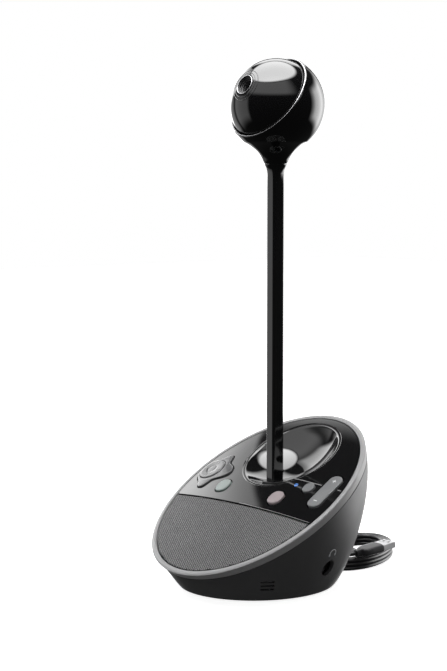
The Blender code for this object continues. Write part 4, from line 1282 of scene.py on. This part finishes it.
def studio_window():
    """Mask of a studio light: a band of azimuth round a centre, between two heights, each edge soft."""
    group, start, end = new_group(
        "studio_window",
        {
            "Vector": "Vector", "Centre": "Vector", "Near": "Float", "Far": "Float", "Low": "Float",
            "High": "Float", "Low Soft": "Float", "High Soft": "Float", "Axis": "Vector",
        },
        {"Value": "Float"},
    )
    height = add_node(group, "ShaderNodeVectorMath", (-700, -200), operation="DOT_PRODUCT")
    group.links.new(start.outputs["Vector"], height.inputs[0])
    group.links.new(start.outputs["Axis"], height.inputs[1])
    level = add_node(group, "ShaderNodeVectorMath", (-700, 200), operation="MULTIPLY")
    level.inputs[1].default_value = (1, 1, 0)
    group.links.new(start.outputs["Vector"], level.inputs[0])
    flat = add_node(group, "ShaderNodeVectorMath", (-550, 200), operation="NORMALIZE")
    group.links.new(level.outputs[0], flat.inputs[0])
    facing = add_node(group, "ShaderNodeVectorMath", (-400, 200), operation="DOT_PRODUCT")
    group.links.new(flat.outputs[0], facing.inputs[0])
    group.links.new(start.outputs["Centre"], facing.inputs[1])
    masks = []
    for row, (value, low, high) in enumerate(
        (
            (facing.outputs["Value"], start.outputs["Far"], start.outputs["Near"]),
            (height.outputs["Value"], start.outputs["Low"], start.outputs["Low Soft"]),
            (height.outputs["Value"], start.outputs["High"], start.outputs["High Soft"]),
        )
    ):
        step = add_node(group, "ShaderNodeMapRange", (-150, 250 - 250 * row), interpolation_type="SMOOTHSTEP")
        group.links.new(value, step.inputs["Value"])
        group.links.new(low, step.inputs["From Min"])
        group.links.new(high, step.inputs["From Max"])
        masks.append(step.outputs[0])
    first = add_node(group, "ShaderNodeMath", (150, 100), operation="MULTIPLY")
    both = add_node(group, "ShaderNodeMath", (350, 0), operation="MULTIPLY")
    group.links.new(masks[0], first.inputs[0])
    group.links.new(masks[1], first.inputs[1])
    group.links.new(first.outputs[0], both.inputs[0])
    group.links.new(masks[2], both.inputs[1])
    group.links.new(both.outputs[0], end.inputs["Value"])
    return group


def softened(tree, strength):
    """The strength, lowered for the light that is scattered rather than mirrored."""
    scattered = add_node(tree, "ShaderNodeLightPath", (-600, -300)).outputs["Is Diffuse Ray"]
    share = add_node(tree, "ShaderNodeMapRange", (-400, -300))
    share.inputs["To Min"].default_value = 1
    share.inputs["To Max"].default_value = DIFFUSE_SHARE
    level = add_node(tree, "ShaderNodeMath", (-300, -100), operation="MULTIPLY")
    fill = add_node(tree, "ShaderNodeMath", (-150, -100), operation="MULTIPLY_ADD")
    fill.inputs[1].default_value = FILL
    wire(
        tree,
        (scattered, share.inputs["Value"]),
        (strength, level.inputs[0]),
        (share.outputs[0], level.inputs[1]),
        (scattered, fill.inputs[0]),
        (level.outputs[0], fill.inputs[2]),
    )
    return fill.outputs[0]


def glowing(name):
    """An empty material with an emission shader and its output."""
    material = bpy.data.materials.new(name)
    material.use_nodes = True
    tree = material.node_tree
    tree.nodes.clear()
    glow = add_node(tree, "ShaderNodeEmission", (0, 0))
    end = add_node(tree, "ShaderNodeOutputMaterial", (200, 0))
    wire(tree, (glow.outputs[0], end.inputs["Surface"]))
    return material, tree, glow


def ramp(tree, value, at, low, high, start, end, **settings):
    """The value mapped from one range to another."""
    node = add_node(tree, "ShaderNodeMapRange", at, **settings)
    for label, number in (("From Min", low), ("From Max", high), ("To Min", start), ("To Max", end)):
        node.inputs[label].default_value = number
    wire(tree, (value, node.inputs["Value"]))
    return node.outputs[0]


def softbox():
    """The large round light overhead, dimmer towards its edge and across."""
    centre, radius, near, far = SOFTBOX
    mesh = bmesh.new()
    bmesh.ops.create_circle(mesh, cap_ends=True, segments=64, radius=radius)
    light = new_object("softbox", mesh_data("softbox", mesh))
    material, tree, glow = glowing("softbox_glow")
    place = add_node(tree, "ShaderNodeTexCoord", (-1200, 0)).outputs["Object"]
    reach = add_node(tree, "ShaderNodeVectorMath", (-1000, 200), operation="LENGTH")
    away = add_node(tree, "ShaderNodeVectorMath", (-1000, -100), operation="DOT_PRODUCT")
    away.inputs[1].default_value = SOFTBOX_AWAY
    level = add_node(tree, "ShaderNodeMath", (-650, 0), operation="MULTIPLY")
    wire(tree, (place, reach.inputs[0]), (place, away.inputs[0]))
    edge = ramp(
        tree, reach.outputs["Value"], (-800, 200), radius * 0.8, radius, 1, 0, interpolation_type="SMOOTHSTEP"
    )
    across = ramp(tree, away.outputs["Value"], (-800, -100), -radius, radius, near, far)
    wire(tree, (edge, level.inputs[0]), (across, level.inputs[1]))
    wire(tree, (softened(tree, level.outputs[0]), glow.inputs["Strength"]))
    light.data.materials.append(material)
    light.location = centre
    light.visible_camera = False
    light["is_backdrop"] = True


def window_lights(tree):
    """The sum of all the soft windows and the room's own dim light."""
    group = studio_window()
    place = add_node(tree, "ShaderNodeTexCoord", (-1200, 0)).outputs["Generated"]
    total = None
    for row, (strength, centre, *edges, axis) in enumerate(LIGHTS):
        window = add_node(tree, "ShaderNodeGroup", (-900, -250 * row), node_tree=group)
        window.inputs["Centre"].default_value = (*centre, 0)
        window.inputs["Axis"].default_value = axis
        for label, value in zip(("Near", "Far", "Low", "Low Soft", "High", "High Soft"), edges):
            window.inputs[label].default_value = value
        add = add_node(tree, "ShaderNodeMath", (-600, -250 * row), operation="MULTIPLY_ADD")
        add.inputs[1].default_value = strength
        add.inputs[2].default_value = ROOM
        wire(tree, (place, window.inputs["Vector"]), (window.outputs[0], add.inputs[0]))
        if total:
            wire(tree, (total, add.inputs[2]))
        total = add.outputs[0]
    return total


def floor():
    """A pale floor that neither lights nor mirrors in the object."""
    mesh = bmesh.new()
    bmesh.ops.create_grid(mesh, x_segments=1, y_segments=1, size=4)
    ground = new_object("floor", mesh_data("floor", mesh))
    material = bpy.data.materials.new("pale_floor")
    material.use_nodes = True
    inputs = material.node_tree.nodes["Principled BSDF"].inputs
    inputs["Base Color"].default_value = (0.8, 0.8, 0.8, 1)
    inputs["Roughness"].default_value = 1.0
    inputs["Emission Color"].default_value = (1, 1, 1, 1)
    inputs["Emission Strength"].default_value = 0.85
    ground.data.materials.append(material)
    ground.location.z = -0.0002
    ground.visible_glossy = False
    ground.visible_diffuse = False
    ground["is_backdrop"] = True


def studio():
    """White to the eye; what lights and mirrors in the object is a dark room with large soft lights."""
    world = bpy.data.worlds.new("studio")
    bpy.context.scene.world = world
    world.use_nodes = True
    tree = world.node_tree
    tree.nodes.clear()
    path = add_node(tree, "ShaderNodeLightPath", (-400, 200))
    dim = add_node(tree, "ShaderNodeBackground", (-200, 0))
    bright = add_node(tree, "ShaderNodeBackground", (-200, -150))
    mix = add_node(tree, "ShaderNodeMixShader", (0, 0))
    end = add_node(tree, "ShaderNodeOutputWorld", (200, 0))
    for shader in (dim, bright):
        shader.inputs["Color"].default_value = (1, 1, 1, 1)
    wire(
        tree,
        (softened(tree, window_lights(tree)), dim.inputs["Strength"]),
        (path.outputs["Is Camera Ray"], mix.inputs["Fac"]),
        (dim.outputs[0], mix.inputs[1]),
        (bright.outputs[0], mix.inputs[2]),
        (mix.outputs[0], end.inputs["Surface"]),
    )
    softbox()
    floor()


def camera():
    data = bpy.data.cameras.new("camera")
    data.sensor_width = 36
    data.lens = FOCAL_LENGTH
    data.clip_start = 0.01
    view = new_object("camera", data)
    turn = axes(CAMERA_RIGHT, CAMERA_RIGHT.cross(CAMERA_AHEAD), -CAMERA_AHEAD)
    view.matrix_world = Matrix.Translation(CAMERA_AT) @ turn
    bpy.context.scene.camera = view
    bpy.context.scene.view_settings.view_transform = "Standard"


camera()
cable(plug())
gland()
housing()
rim()
panel()
grille()
socket_parts()
headphone_mark()
highlight_beads()
keys()
stalk()
head()
eye()
finish_nodes()
studio()

corners = [[list(corner) for corner in box] for box in (solid_box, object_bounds())]
